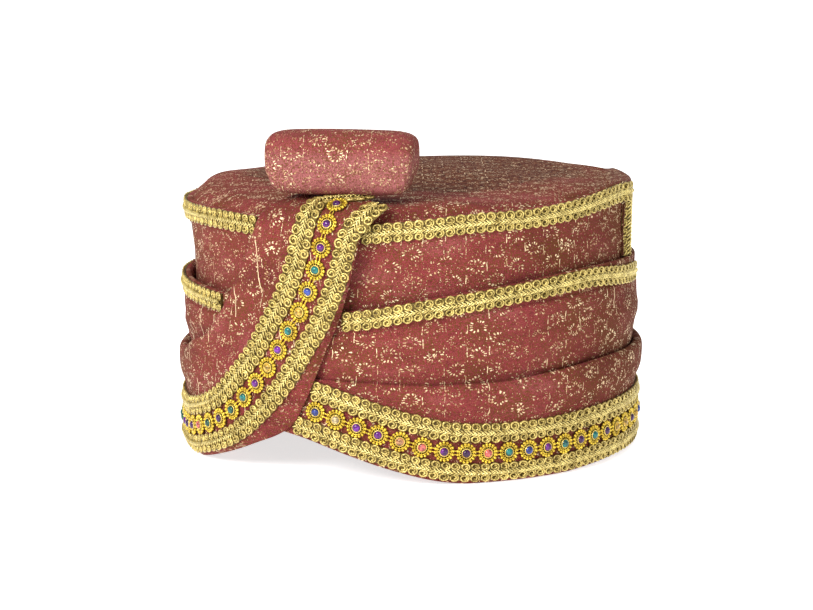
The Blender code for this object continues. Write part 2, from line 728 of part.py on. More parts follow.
def build():
    """Clear the scene and build the turban."""
    for piece in list(bpy.data.objects):
        bpy.data.objects.remove(piece, do_unlink=True)
    turban = bpy.data.collections.new("turban_pagri")
    bpy.context.scene.collection.children.link(turban)

    crown_wall(turban)
    crown_top(turban)
    wrap_ring("wrap_upper", upper_edge, UPPER_WAIST, 0.0, lambda turn: middle_edge(turn)[0],
              lambda turn: UPPER_FOOT_HEIGHT, turban)
    wrap_ring("wrap_middle", middle_edge, MIDDLE_WAIST, MIDDLE_BULGE, lambda turn: LOWER_LIP_HEIGHT,
              lambda turn: MIDDLE_FOOT_HEIGHT + arch(turn) * RIM_CLEARANCE, turban)
    wrap_lower(turban)
    side_flap(turban)
    top_roll(turban)

    lip_gimp("gimp_upper_front", upper_edge, UPPER_WAIST, UPPER_GIMP_START, FLAP_START - 1.0, turban)
    lip_gimp("gimp_upper_back", upper_edge, UPPER_WAIST, FLAP_END + 1.0, 360.0 + UPPER_GIMP_END, turban)
    lip_gimp("gimp_middle_front", middle_edge, MIDDLE_WAIST, MIDDLE_GIMP_START, MIDDLE_GIMP_STOP, turban)
    lip_gimp("gimp_middle_back", middle_edge, MIDDLE_WAIST, FLAP_END + 1.0, 360.0 + MIDDLE_GIMP_END, turban)
    gimp_side(turban)
    border_gimp("gimp_border_upper", BORDER_TOP_START, 1, turban)
    border_gimp("gimp_border_lower", BORDER_BOTTOM_START, -1, turban)

    sash_start = distance_of(SASH_TURN)
    hem_start = distance_of(CHAIN_START)
    hem_count = int((sash_start - hem_start) / CHAIN_PITCH) + 1
    sash_first = hem_start + hem_count * CHAIN_PITCH
    jewel_chain("jewel_chain_hem", hem_start, sash_first - CHAIN_PITCH * 0.9, True, turban)
    jewel_chain("jewel_chain_sash", sash_first, border_end(), False, turban)


build()
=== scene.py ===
import math

import bpy
import numpy as np
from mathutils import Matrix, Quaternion, Vector


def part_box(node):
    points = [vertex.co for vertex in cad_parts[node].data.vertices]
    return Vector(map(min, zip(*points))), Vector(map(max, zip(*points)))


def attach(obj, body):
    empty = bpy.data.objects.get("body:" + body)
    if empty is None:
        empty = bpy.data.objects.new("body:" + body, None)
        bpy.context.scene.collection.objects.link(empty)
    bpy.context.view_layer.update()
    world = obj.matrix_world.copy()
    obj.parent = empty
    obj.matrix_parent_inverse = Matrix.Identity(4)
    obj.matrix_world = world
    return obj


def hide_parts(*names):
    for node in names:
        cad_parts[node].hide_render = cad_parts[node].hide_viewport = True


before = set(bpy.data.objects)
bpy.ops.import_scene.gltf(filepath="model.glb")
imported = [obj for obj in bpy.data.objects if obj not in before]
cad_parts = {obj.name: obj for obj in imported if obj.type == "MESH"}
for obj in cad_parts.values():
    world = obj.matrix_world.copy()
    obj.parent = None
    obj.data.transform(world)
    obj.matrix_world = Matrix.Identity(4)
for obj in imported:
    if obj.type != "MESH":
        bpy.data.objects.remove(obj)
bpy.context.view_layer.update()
print("frame loaded")

# sizes shared with the solids
bodyHeight = 0.1362
sizes = {
    "bodyHeight": bodyHeight, "capSide": 0.108, "headRadius": 0.097, "capSkin": 0.003, "tilt": 0.0023,
    "cloth": 0.0024, "gap": 0.0003, "upperWaist": 0.1107, "middleWaist": 0.1134, "lowerWaist": 0.1161,
    "upperLip": bodyHeight * 0.946, "middleLip": bodyHeight * 0.662, "lowerLip": bodyHeight * 0.360,
    "upperFoot": bodyHeight * 0.455, "middleFoot": 0.007, "rimClearance": 1.08,
    "upperFlare": 0.0042, "middleFlare": 0.0026, "middleBulge": 0.0022,
    "archHeight": 0.0225, "wrapAbove": 0.0430, "foldStrip": 0.0110, "lipBulge": 0.0034,
    "lipRound": 0.0042, "overlapLift": 0.0037, "sashFold": 0.0019, "foldEdge": 0.0008,
    "gimpWidth": 0.0100, "chainHalf": 0.00545, "borderHalf": 0.01545,
    "rosette": 0.0103, "pitch": 0.0109,
}
mm = 0.001

upperEdgeRows = np.array((  # turn, height share, flare share
    (-180.0, 1.008, 0.60), (-135.0, 0.985, 0.80), (-90.0, 0.965, 1.00), (-50.0, 0.980, 0.95),
    (-15.0, 0.970, 0.60), (1.0, 0.992, 0.40), (15.0, 1.014, 0.30), (29.0, 1.019, 0.20), (45.0, 1.036, 0.10),
    (62.0, 1.060, 0.05), (90.0, 1.047, 0.05), (135.0, 1.028, 0.35)))
middleEdgeRows = np.array((  # the same
    (-180.0, 1.040, 0.80), (-135.0, 1.000, 0.95), (-90.0, 0.960, 1.00), (-55.0, 0.945, 0.95),
    (-17.0, 0.920, 0.70), (3.0, 0.996, 0.60), (27.0, 1.068, 0.60), (44.0, 1.101, 0.60),
    (71.0, 1.096, 0.60), (90.0, 1.080, 0.60), (135.0, 1.064, 0.70)))
archRows = np.array((  # turn, height share of the arch at the front
    (-64.0, 0.00), (-56.0, 0.08), (-50.0, 0.25), (-42.0, 0.57), (-34.0, 0.90), (-27.0, 1.03),
    (-20.0, 0.92), (-10.0, 0.60), (0.0, 0.30), (10.0, 0.06), (18.0, 0.00)))
chainRoute = np.array((  # turn, chain height, above, strip, bulge, lift, padding
    (-38.0, 0.288, 0.25, 0.00, 0.02, 0.00, 0.0), (-24.2, 0.255, 0.36, 0.00, 0.06, 0.00, 0.0),
    (-13.1, 0.207, 0.52, 0.00, 0.35, 0.00, 0.0), (-2.2, 0.159, 0.66, 0.00, 0.70, 0.00, 0.0),
    (8.5, 0.122, 0.77, 0.00, 0.90, 0.00, 0.0), (22.0, 0.109, 0.81, 0.00, 1.00, 0.00, 0.0),
    (37.0, 0.111, 0.86, 0.00, 1.00, 0.00, 0.0), (51.0, 0.119, 0.88, 0.00, 1.00, 0.00, 0.0),
    (72.0, 0.124, 0.86, 0.00, 1.00, 0.00, 0.0), (100.0, 0.122, 0.85, 0.00, 1.00, 0.00, 0.0),
    (140.0, 0.117, 0.85, 0.00, 1.00, 0.00, 0.0), (180.0, 0.112, 0.86, 0.00, 1.00, 0.00, 0.0),
    (220.0, 0.104, 0.88, 0.00, 1.00, 0.00, 0.0), (250.0, 0.092, 0.87, 0.00, 1.00, 0.00, 0.0),
    (272.0, 0.086, 0.87, 0.00, 1.00, 0.00, 0.0), (284.0, 0.090, 0.90, 0.00, 0.78, 0.06, 0.0),
    (292.0, 0.101, 0.96, 0.00, 0.55, 0.42, 0.2), (300.0, 0.125, 1.00, 0.02, 0.30, 0.85, 0.4),
    (307.0, 0.158, 1.00, 0.06, 0.10, 1.00, 0.7), (313.5, 0.208, 1.00, 0.26, 0.00, 1.00, 1.0),
    (318.0, 0.266, 1.00, 0.70, 0.00, 1.00, 1.0), (322.0, 0.328, 1.00, 1.00, 0.00, 1.00, 1.0),
    (325.5, 0.391, 0.99, 0.90, 0.00, 1.00, 1.0), (328.3, 0.455, 0.98, 0.78, 0.00, 1.00, 1.0),
    (331.0, 0.525, 0.96, 0.68, 0.00, 1.00, 1.0), (334.1, 0.603, 0.95, 0.45, 0.00, 1.00, 1.0),
    (336.3, 0.680, 0.95, 0.30, 0.00, 1.00, 1.0), (338.1, 0.758, 0.94, 0.12, 0.00, 1.00, 1.0),
    (339.5, 0.842, 0.92, 0.06, 0.00, 1.00, 1.0), (340.8, 0.927, 0.90, 0.05, 0.00, 1.00, 0.9),
    (342.2, 1.000, 0.88, 0.05, 0.00, 1.00, 0.7), (344.0, 1.080, 0.85, 0.05, 0.00, 1.00, 0.5)))
drapeRows = np.array((  # length, inwards, height
    (-0.100, 0.000, -0.100), (0.000, 0.000, 0.000), (0.760, 0.000, 0.760), (0.818, 0.001, 0.818),
    (0.876, 0.003, 0.875), (0.922, 0.017, 0.921), (0.953, 0.050, 0.948), (0.985, 0.089, 0.960),
    (1.020, 0.128, 0.972), (1.070, 0.188, 0.981), (1.120, 0.251, 0.987), (1.400, 0.600, 1.030)))


# curves
def smooth(rows, keys):
    # cubic through the rows, each row's slope taken from its neighbours; returns keys x columns
    keys = np.asarray(keys, float)
    at, values = rows[:, 0], rows[:, 1:]
    slopes = np.gradient(values, at, axis=0)
    index = np.clip(np.searchsorted(at, keys) - 1, 0, len(at) - 2)
    span = (at[index + 1] - at[index])[..., None]
    share = (keys[..., None] - at[index][..., None]) / span
    square, cube = share ** 2, share ** 3
    return ((2 * cube - 3 * square + 1) * values[index] + (cube - 2 * square + share) * span * slopes[index]
            + (3 * square - 2 * cube) * values[index + 1] + (cube - square) * span * slopes[index + 1])


def smoothRound(rows, turns):
    # the same for a table that repeats after 360 degrees
    before, after = rows[-2:].copy(), rows[:2].copy()
    before[:, 0] -= 360
    after[:, 0] += 360
    return smooth(np.vstack((before, rows, after)), (np.asarray(turns) + 180) % 360 - 180)


def place(turn, radius, height):
    # point at a turn in degrees round the axis, 0 at the front and growing to the right
    angle = np.radians(turn)
    return np.stack(np.broadcast_arrays(radius * np.sin(angle), -radius * np.cos(angle), height), -1)


def bump(value, centre, width):
    # bell: exp(-((value - centre) / width)^2)
    return np.exp(-((value - centre) / width) ** 2)


def step(value, low, high):
    # smooth step from 0 to 1: s^2 (3 - 2 s), with s the clipped share of the way from low to high
    share = np.clip((value - low) / (high - low), 0, 1)
    return share * share * (3 - 2 * share)


def arch(turn):
    # height of the hem's edge over the floor, where it rises to an arch at the front
    signed = (np.asarray(turn) + 180) % 360 - 180
    inside = (signed > archRows[0, 0]) & (signed < archRows[-1, 0])
    return np.where(inside, np.maximum(smooth(archRows, signed)[..., 0], 0), 0) * sizes["archHeight"]


def tilt(turn, radius, height):
    # the crown leans up to the right: sin(turn) times the shares of its radius and height
    return sizes["tilt"] * np.sin(np.radians(turn)) * radius / sizes["capSide"] * height / sizes["bodyHeight"]


def through(points, count):
    # count values along axis 1 on a uniform cubic through control values of shape rows x controls x k
    controls = points.shape[1]
    table = np.concatenate((np.arange(controls)[:, None], points.transpose(1, 0, 2).reshape(controls, -1)), 1)
    made = smooth(table, np.linspace(0, controls - 1, count))
    return made.reshape(count, points.shape[0], points.shape[2]).transpose(1, 0, 2)


def pair(first, second):
    # two numbers for each row, side by side
    return np.stack(np.broadcast_arrays(first, second), -1)


def unit(vectors):
    # vectors divided by their lengths
    return vectors / np.maximum(np.linalg.norm(vectors, axis=-1, keepdims=True), 1e-12)


# meshes
def makeMesh(name, points, faces, materials, uv=None, faceMaterial=None):
    # a smooth piece of the one body: its points, faces, materials, weave and each face's material
    mesh = bpy.data.meshes.new(name)
    mesh.from_pydata(np.asarray(points, float).reshape(-1, 3).tolist(), [], faces)
    if uv is not None:
        layer = mesh.uv_layers.new(name="weave")
        layer.uv.foreach_set("vector", np.asarray(uv, np.float32).ravel())
    for item in materials:
        mesh.materials.append(item)
    if faceMaterial is not None:
        mesh.polygons.foreach_set("material_index", np.asarray(faceMaterial, np.int32))
    mesh.polygons.foreach_set("use_smooth", np.ones(len(mesh.polygons), bool))
    mesh.update()
    piece = bpy.data.objects.new(name, mesh)
    bpy.context.scene.collection.objects.link(piece)
    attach(piece, "root")
    return piece


def gridFaces(rows, columns, closeRows=False, closeColumns=False, start=0):
    # four-sided faces between the neighbours of a grid, point (row, column) = start + row * columns + column
    index = np.arange(rows * columns).reshape(rows, columns) + start
    if closeRows:
        index = np.vstack((index, index[:1]))
    if closeColumns:
        index = np.hstack((index, index[:, :1]))
    quads = np.stack((index[:-1, :-1], index[1:, :-1], index[1:, 1:], index[:-1, 1:]), -1)
    return quads.reshape(-1, 4)


def gridLoops(uv):
    # uv for every corner of the grid's faces, from uv given on a grid that repeats its seam
    corners = np.stack((uv[:-1, :-1], uv[1:, :-1], uv[1:, 1:], uv[:-1, 1:]), 2)
    return corners.reshape(-1, 2)


def endFaces(start, rings, sides):
    # two faces that close the ends of a tube of rings
    last = start + (rings - 1) * sides
    return [list(range(start, start + sides))[::-1], list(range(last, last + sides))]


def skin(name, points, uv, materials, closeRows=False):
    # closed cloth: rows along the cloth, columns round its section; uv has one more column (and row)
    rows, columns = points.shape[:2]
    faces = gridFaces(rows, columns, closeRows, True).tolist()
    loops = gridLoops(uv)
    if not closeRows:
        faces += endFaces(0, rows, columns)
        loops = np.vstack((loops, uv[0, :-1][::-1], uv[-1, :-1]))
    return makeMesh(name, points, faces, materials, loops)


def tubeGrid(paths, outs, radius, sides):
    # rings round each path: path + radius (cos a side + sin a up), with side = ahead x out and
    # up = side x ahead; paths and outs are k x n x 3, radius one value or k x n
    ahead = unit(np.gradient(paths, axis=1))
    side = unit(np.cross(ahead, outs))
    up = np.cross(side, ahead)
    angle = np.arange(sides) * 2 * np.pi / sides
    radius = np.broadcast_to(radius, paths.shape[:2])[..., None, None]
    return (paths[:, :, None] + radius * (np.cos(angle)[:, None] * side[:, :, None]
                                          + np.sin(angle)[:, None] * up[:, :, None]))


def tubeFaces(grids, start=0):
    # faces of closed tubes with end faces, grids k x n x sides x 3
    count, rings, sides = grids.shape[:3]
    one = gridFaces(rings, sides, False, True)
    faces = (one[None] + np.arange(count)[:, None, None] * rings * sides + start).reshape(-1, 4).tolist()
    for tube in range(count):
        faces += endFaces(start + tube * rings * sides, rings, sides)
    return faces


# materials
def newMaterial(name, **constants):
    # a Principled BSDF whose constants are set on its sockets
    item = bpy.data.materials.new(name)
    item.use_nodes = True
    shader = item.node_tree.nodes["Principled BSDF"]
    for socket, value in constants.items():
        shader.inputs[socket.replace("_", " ")].default_value = value
    return item, item.node_tree, shader


class Graph:
    # small helper for writing node trees as formulas
    def __init__(self, tree):
        self.tree = tree

    def node(self, kind, **settings):
        # a new shader node of a kind, with its settings
        made = self.tree.nodes.new("ShaderNode" + kind)
        for key, value in settings.items():
            setattr(made, key, value)
        return made

    def put(self, socket, value):
        # link an output to the socket, or set its value
        if isinstance(value, bpy.types.NodeSocket):
            self.tree.links.new(value, socket)
        else:
            socket.default_value = value

    def calc(self, operation, *values, clamp=False):
        # one step of arithmetic; the short names below are its common ones
        made = self.node("Math", operation=operation, use_clamp=clamp)
        for socket, value in zip(made.inputs, values):
            self.put(socket, value)
        return made.outputs[0]

    def times(self, *values):
        return self.calc("MULTIPLY", *values)

    def plus(self, *values):
        return self.calc("ADD", *values)

    def minus(self, *values):
        return self.calc("SUBTRACT", *values)

    def over(self, *values):
        return self.calc("DIVIDE", *values)

    def size(self, value):
        return self.calc("ABSOLUTE", value)

    def whole(self, value):
        return self.calc("FLOOR", value)

    def part(self, value):
        return self.calc("FRACT", value)

    def parts(self, value):
        # the three numbers of a place
        made = self.node("SeparateXYZ")
        self.put(made.inputs[0], value)
        return made.outputs

    def bump(self, height, strength, distance):
        # the normal that a height gives
        made = self.node("Bump")
        made.inputs["Strength"].default_value = strength
        made.inputs["Distance"].default_value = distance
        self.put(made.inputs["Height"], height)
        return made.outputs[0]

    def vector(self, operation, *values):
        # the same as calc on three numbers at once
        made = self.node("VectorMath", operation=operation)
        for socket, value in zip(made.inputs, values):
            self.put(socket, value)
        return made.outputs[0]

    def ramp(self, value, low, high, toLow=0.0, toHigh=1.0):
        # smooth step of a value from low to high, to the range from toLow to toHigh
        made = self.node("MapRange", interpolation_type="SMOOTHSTEP")
        for socket, item in zip(made.inputs, (value, low, high, toLow, toHigh)):
            self.put(socket, item)
        return made.outputs[0]

    def noise(self, where, scale, detail=2.0, rough=0.5):
        # soft noise between 0 and 1 at a place
        made = self.node("TexNoise", noise_dimensions="3D")
        for key, item in (("Vector", where), ("Scale", scale), ("Detail", detail), ("Roughness", rough)):
            self.put(made.inputs[key], item)
        return made.outputs["Fac"]

    def chances(self, first, second):
        # three even chances between 0 and 1 from two whole or broken numbers
        pair = self.node("CombineXYZ")
        self.put(pair.inputs[0], first)
        self.put(pair.inputs[1], second)
        made = self.node("TexWhiteNoise", noise_dimensions="2D")
        self.put(made.inputs["Vector"], pair.outputs[0])
        parts = self.node("SeparateColor")
        self.put(parts.inputs[0], made.outputs["Color"])
        return parts.outputs

    def mix(self, share, first, second):
        # first + (second - first) share, of two colours
        made = self.node("Mix", data_type="RGBA")
        self.put(made.inputs[0], share)
        for socket, value in ((made.inputs[6], first), (made.inputs[7], second)):
            self.put(socket, (*value, 1.0) if isinstance(value, tuple) and len(value) == 3 else value)
        return made.outputs[2]


def newGroup(name, inputs, outputs):
    # empty node group with named sockets: its tree, its helper, its input and its output
    tree = bpy.data.node_groups.new(name, "ShaderNodeTree")
    for title, kind, value in inputs:
        socket = tree.interface.new_socket(title, in_out="INPUT", socket_type="NodeSocket" + kind)
        if value is not None:
            socket.default_value = value
    for title, kind in outputs:
        tree.interface.new_socket(title, in_out="OUTPUT", socket_type="NodeSocket" + kind)
    return tree, Graph(tree), tree.nodes.new("NodeGroupInput"), tree.nodes.new("NodeGroupOutput")


brocade = {  # lengths in metres, colours in linear light
    # the woven rings: lattice, half sizes, dashes in a ring, spans of reach and of a dash, chances
    "pitchAlong": 0.0213, "pitchAcross": 0.0140, "ringLong": 0.0038, "ringHigh": 0.0027, "dashes": 15.0,
    "ringUneven": 0.52, "ringInside": (0.72, 0.82), "ringOutside": (1.20, 1.10), "dash": (0.32, 0.16),
    "dashLost": 0.26, "core": (0.30, 0.18), "coreChance": (0.74, 0.76),
    # the short bracket beside some rings
    "bracketAt": 0.0055, "bracketHalf": 0.0023, "bracketWidth": 0.00030, "bracketShift": 0.0036,
    "bracketLost": 0.52,
    # loose glints, and long floats of the metal thread
    "glintScale": 1500.0, "glintSquash": (1.0, 0.72, 1.0), "glint": (0.46, 0.24),
    # right and left ramp up, towards each side, the painted glints and the painted shade of earthy specks
    "crowd": (0.34, 0.66, 0.14, 0.62), "right": (0.050, 0.115, 0.0, 0.34),
    "left": (-0.085, -0.120, 0.0, 0.14),
    "floatAlong": 0.0085, "floatAcross": 0.030, "floatWidth": 0.00028, "floatSlant": 0.16,
    # noises: scale, detail, roughness
    "wobbleScale": 260.0, "wobble": 0.0015, "lost": (1300.0, 1.0), "patch": (42.0, 1.5),
    "crowding": (150.0, 1.0), "fine": (2300.0, 2.0, 0.7), "grain": (1100.0, 2.0, 0.6),
    "paintedBandNoise": (52.0, 3.0, 0.55), "mottle": (360.0, 2.0, 0.6), "yarn": (1500.0, 1.0),
    # layers of the ground: noise from, to, largest share, colour
    # the first two layers are painted light and painted crease shade, in soft bands that stand for folds
    "paintedLitBands": (0.50, 0.70, 0.60, "pale"), "paintedCreaseShade": (0.48, 0.32, 0.62, "wine"),
    "mottled": (0.50, 0.68, 0.45, "wine"), "hollows": (0.505, 0.58, 0.75, "wine"),
    "tips": (0.475, 0.39, 0.60, "pale"), "unlit": (0.515, 0.565, 0.82, "earth"),
    # the layer towards the far right is painted shade on the side the light reaches less; the brown yarn is
    # the cloth's own colour
    "rightSideShade": (0.055, 0.118, 0.30, "wine"), "brownYarn": (0.60, 0.72, 0.40, "thread"),
    "rose": (0.216, 0.033, 0.034), "wine": (0.060, 0.007, 0.008), "pale": (0.350, 0.092, 0.092),
    "earth": (0.105, 0.044, 0.010), "rollPale": (0.360, 0.128, 0.124),
    "brownLight": (0.135, 0.050, 0.024), "brownDark": (0.040, 0.010, 0.007), "thread": (0.300, 0.125, 0.050),
    # gold thread from dim to bright; the bright end is a painted highlight
    "goldBright": (1.000, 0.790, 0.480), "goldDim": (0.430, 0.215, 0.090),
}


def ringGroup():
    # one woven motif round the middle of its cell. reach = sqrt((along/ringLong)^2 + (across/ringHigh)^2);
    # dash number = floor(angle * dashes / 2 pi), each with its own chance, shift of reach and brightness
    tree, g, inside, outside = newGroup("wovenRing", (
        ("Along", "Float", 0.0), ("Across", "Float", 0.0), ("Chance", "Float", 0.5)),
        (("Mask", "Float"), ("Bright", "Float")))
    along, across, chance = inside.outputs[:3]
    longWay = g.over(along, brocade["ringLong"])
    highWay = g.over(across, brocade["ringHigh"])
    reach = g.calc("SQRT", g.plus(g.times(longWay, longWay), g.times(highWay, highWay)))
    turns = g.times(g.calc("ARCTAN2", highWay, longWay), brocade["dashes"] / (2 * math.pi))
    turns = g.plus(turns, g.times(chance, 3.0))
    first, second, third = g.chances(g.whole(turns), g.times(chance, 57.3))
    reach = g.plus(reach, g.times(g.minus(second, 0.5), brocade["ringUneven"]))
    band = g.times(g.ramp(reach, *brocade["ringInside"]), g.ramp(reach, *brocade["ringOutside"]))
    dash = g.ramp(g.size(g.minus(g.part(turns), 0.5)), *brocade["dash"])
    ring = g.times(g.times(band, dash), g.calc("GREATER_THAN", first, brocade["dashLost"]))
    core = g.times(g.ramp(reach, *brocade["core"]), g.ramp(chance, *brocade["coreChance"]))
    # bracket: | |along| - bracketAt | < width and |across - shift| < half
    sideOne, sideTwo, _ = g.chances(g.calc("SIGN", along), g.times(chance, 91.7))
    sideways = g.size(g.minus(g.size(along), brocade["bracketAt"]))
    level = g.minus(across, g.times(g.minus(sideTwo, 0.5), brocade["bracketShift"]))
    bar = g.times(g.ramp(sideways, brocade["bracketWidth"], brocade["bracketWidth"] * 0.4),
                  g.ramp(g.size(level), brocade["bracketHalf"], brocade["bracketHalf"] * 0.85))
    bar = g.times(bar, g.calc("GREATER_THAN", sideOne, brocade["bracketLost"]))
    g.put(outside.inputs[0], g.calc("MAXIMUM", g.calc("MAXIMUM", ring, core), bar))
    g.put(outside.inputs[1], third)
    return tree


def ringLattices(g, x, y):
    # two lattices of rings, the second half a pitch on: their masks and how bright they are
    ring = ringGroup()
    masks, brights = [], []
    for offset in (0.0, 0.5):
        column = g.plus(g.over(x, brocade["pitchAlong"]), offset)
        row = g.plus(g.over(y, brocade["pitchAcross"]), offset)
        chance = g.chances(g.whole(column), g.plus(g.whole(row), offset))[0]
        made = g.node("Group", node_tree=ring)
        for socket, share, pitch in ((0, column, "pitchAlong"), (1, row, "pitchAcross")):
            g.put(made.inputs[socket], g.times(g.minus(g.part(share), 0.5), brocade[pitch]))
        g.put(made.inputs[2], chance)
        masks.append(made.outputs[0])
        brights.append(g.times(made.outputs[1], g.calc("GREATER_THAN", made.outputs[0], 0.01)))
    return masks, brights


def floatMask(g, x, y, floats):
    # long floats: one line in each column, at its own place, cut to lengths by rows with their own chances
    column = g.over(g.plus(x, g.times(y, brocade["floatSlant"])), brocade["floatAlong"])
    one, two, three = g.chances(g.whole(column), 3.7)
    row = g.plus(g.over(y, brocade["floatAcross"]), g.times(one, 5.0))
    rowOne, rowTwo, _ = g.chances(g.whole(row), g.times(two, 31.0))
    width = g.size(g.minus(g.part(column), g.plus(0.25, g.times(three, 0.5))))
    thin = brocade["floatWidth"] / brocade["floatAlong"]
    line = g.times(g.ramp(width, thin, thin * 0.5), g.calc("LESS_THAN", rowOne, floats))
    return g.times(line, g.calc("LESS_THAN", g.part(row), g.plus(0.12, g.times(rowTwo, 0.75))))


def brocadeGroup():
    # the cloth: two staggered lattices of rings, glints, long floats, and a ground of pile and thread noise
    tree, g, inside, outside = newGroup("brocadeWeave", (
        ("Sparkle", "Float", 0.5), ("Motif", "Float", 1.0), ("Brown", "Float", 0.0), ("Pale", "Float", 0.0),
        ("Floats", "Float", 0.0)),
        (("Colour", "Color"), ("Gold", "Float"), ("Rough", "Float"), ("Height", "Float")))
    sparkle, motif, brown, pale, floats = inside.outputs[:5]
    weave = g.node("UVMap", uv_map="weave").outputs[0]
    wobble = g.node("TexNoise", noise_dimensions="3D")
    g.put(wobble.inputs["Vector"], weave)
    g.put(wobble.inputs["Scale"], brocade["wobbleScale"])
    shake = g.vector("SCALE", g.vector("SUBTRACT", wobble.outputs["Color"], (0.5, 0.5, 0.5)))
    g.put(shake.node.inputs["Scale"], brocade["wobble"])
    where = g.vector("ADD", weave, shake)
    x, y, _ = g.parts(where)
    masks, brights = ringLattices(g, x, y)
    # dashes are lost where the metal thread sinks under the pile
    patch = g.noise(weave, *brocade["patch"])
    lost = g.plus(g.noise(where, *brocade["lost"]), g.times(g.minus(patch, 0.5), 0.60))
    pattern = g.times(g.times(g.calc("MAXIMUM", *masks), g.ramp(lost, 0.39, 0.47)), motif)
    # loose glints of the metal thread, gathered round the motifs, and painted thicker towards the sides as
    # painted glints of the grazing view
    glint = g.node("TexVoronoi", voronoi_dimensions="3D", feature="F1")
    g.put(glint.inputs["Vector"], g.vector("MULTIPLY", where, brocade["glintSquash"]))
    g.put(glint.inputs["Scale"], brocade["glintScale"])
    luck = g.node("SeparateColor")
    g.put(luck.inputs[0], glint.outputs["Color"])
    fromMiddle = g.parts(g.node("TexCoord").outputs["Object"])[0]
    # sideways: how much painted glint and painted shade is added towards the sides
    sideways = g.plus(g.ramp(fromMiddle, *brocade["right"]), g.ramp(fromMiddle, *brocade["left"]))
    crowd = g.ramp(g.noise(weave, *brocade["crowding"]), *brocade["crowd"])
    density = g.times(g.plus(sparkle, sideways), crowd)
    speck = g.times(g.ramp(glint.outputs["Distance"], *brocade["glint"]),
                    g.calc("GREATER_THAN", luck.outputs[0], g.minus(1.0, density)))
    line = floatMask(g, x, y, floats)
    gold = g.calc("MAXIMUM", g.calc("MAXIMUM", pattern, line), speck, clamp=True)

    def layer(ground, mask, name):
        # one named layer of colour over the ground, where the mask says
        low, high, share, colour = brocade[name]
        return g.mix(g.ramp(mask, low, high, 0.0, share), ground, brocade[colour])

    # ground: soft bands of painted crease shade and painted light, warp and weft, thin brown metal threads
    fine = g.noise(g.vector("MULTIPLY", weave, (1.0, 1.5, 1.0)), *brocade["fine"])
    grain = g.noise(weave, *brocade["grain"])
    paintedBandNoise = g.noise(g.vector("MULTIPLY", weave, (0.45, 1.3, 1.0)), *brocade["paintedBandNoise"])
    mottle = g.noise(weave, *brocade["mottle"])
    # painted light on soft bands (pale) and painted shade in the creases between them (wine), from one
    # stretched noise
    ground = layer(layer(brocade["rose"], paintedBandNoise, "paintedLitBands"), paintedBandNoise, "paintedCreaseShade")
    ground = g.mix(pale, ground, brocade["rollPale"])
    ground = layer(layer(layer(ground, mottle, "mottled"), fine, "hollows"), fine, "tips")
    # unlit metal thread shows as earthy specks, painted thicker towards the sides as painted shade
    shift = g.plus(g.times(g.minus(patch, 0.5), 0.30), g.times(sideways, 0.26))
    # the last layer darkens the ground towards wine on the right: painted shade
    ground = layer(layer(ground, g.plus(grain, shift), "unlit"), fromMiddle, "rightSideShade")
    yarn = g.noise(g.vector("MULTIPLY", weave, (0.30, 2.0, 1.0)), *brocade["yarn"])
    ground = layer(ground, yarn, "brownYarn")
    browner = g.mix(g.ramp(mottle, 0.40, 0.60), brocade["brownLight"], brocade["brownDark"])
    ground = g.mix(brown, ground, browner)
    # bright dashes and specks are painted highlights, picked at random and brighter in broad patches that
    # stand for rows catching the light
    bright = g.calc("MAXIMUM", g.calc("MAXIMUM", *brights), g.calc("POWER", luck.outputs[1], 2.8))
    shine = g.times(g.ramp(bright, 0.15, 0.80, 0.25, 1.0), g.ramp(patch, 0.36, 0.60, 0.50, 1.0))
    metal = g.mix(g.calc("MAXIMUM", shine, g.times(line, 0.9)), brocade["goldDim"], brocade["goldBright"])
    height = g.plus(g.plus(g.times(gold, 0.7), g.times(fine, 0.5)), g.times(grain, 0.5))
    rough = g.ramp(gold, 0.0, 1.0, 0.82, 0.36)
    for socket, value in zip(outside.inputs, (g.mix(gold, ground, metal), gold, rough, height)):
        g.put(socket, value)
    return tree


weaveGroup = brocadeGroup()


def brocadeMaterial(name, sparkle, motif=1.0, brown=0.0, pale=0.0, floats=0.0, brownInside=None,
                    paleBand=None, gloss=0.05):
    # the weave on one cloth, browner inside a circle or paler along a level where it has one
    item, tree, shader = newMaterial(name, Sheen_Weight=gloss * 0.3, Sheen_Roughness=0.5,
                                     Sheen_Tint=(1.0, 0.62, 0.62, 1.0), Specular_IOR_Level=gloss)
    g = Graph(tree)
    weave = g.node("Group", node_tree=weaveGroup)
    for socket, value in zip(weave.inputs, (sparkle, motif, brown, pale, floats)):
        socket.default_value = value
    if brownInside is not None:
        # browner inside a wavy circle: sqrt(x^2 + (y - shift)^2) + noise, ramped between two lengths
        shift, inner, outer = brownInside
        spot = g.node("TexCoord").outputs["Object"]
        x, y, _ = g.parts(spot)
        back = g.minus(y, shift)
        square = g.plus(g.times(x, x), g.times(back, back))
        uneven = g.times(g.minus(g.noise(spot, 120.0, 3.0), 0.5), 0.030)
        g.put(weave.inputs["Brown"], g.ramp(g.plus(g.calc("SQRT", square), uneven), outer, inner, 0.0, brown))
    if paleBand is not None:
        # paler towards one level: |z - level| ramped between two heights
        level, near, far = paleBand
        high = g.parts(g.node("TexCoord").outputs["Object"])[2]
        g.put(weave.inputs["Pale"], g.ramp(g.size(g.minus(high, level)), near, far, pale, 0.15))
    g.put(shader.inputs["Base Color"], weave.outputs["Colour"])
    g.put(shader.inputs["Metallic"], g.times(weave.outputs["Gold"], 0.45))
    g.put(shader.inputs["Roughness"], weave.outputs["Rough"])
    g.put(shader.inputs["Normal"], g.bump(weave.outputs["Height"], 0.8, 0.00045))
    return item


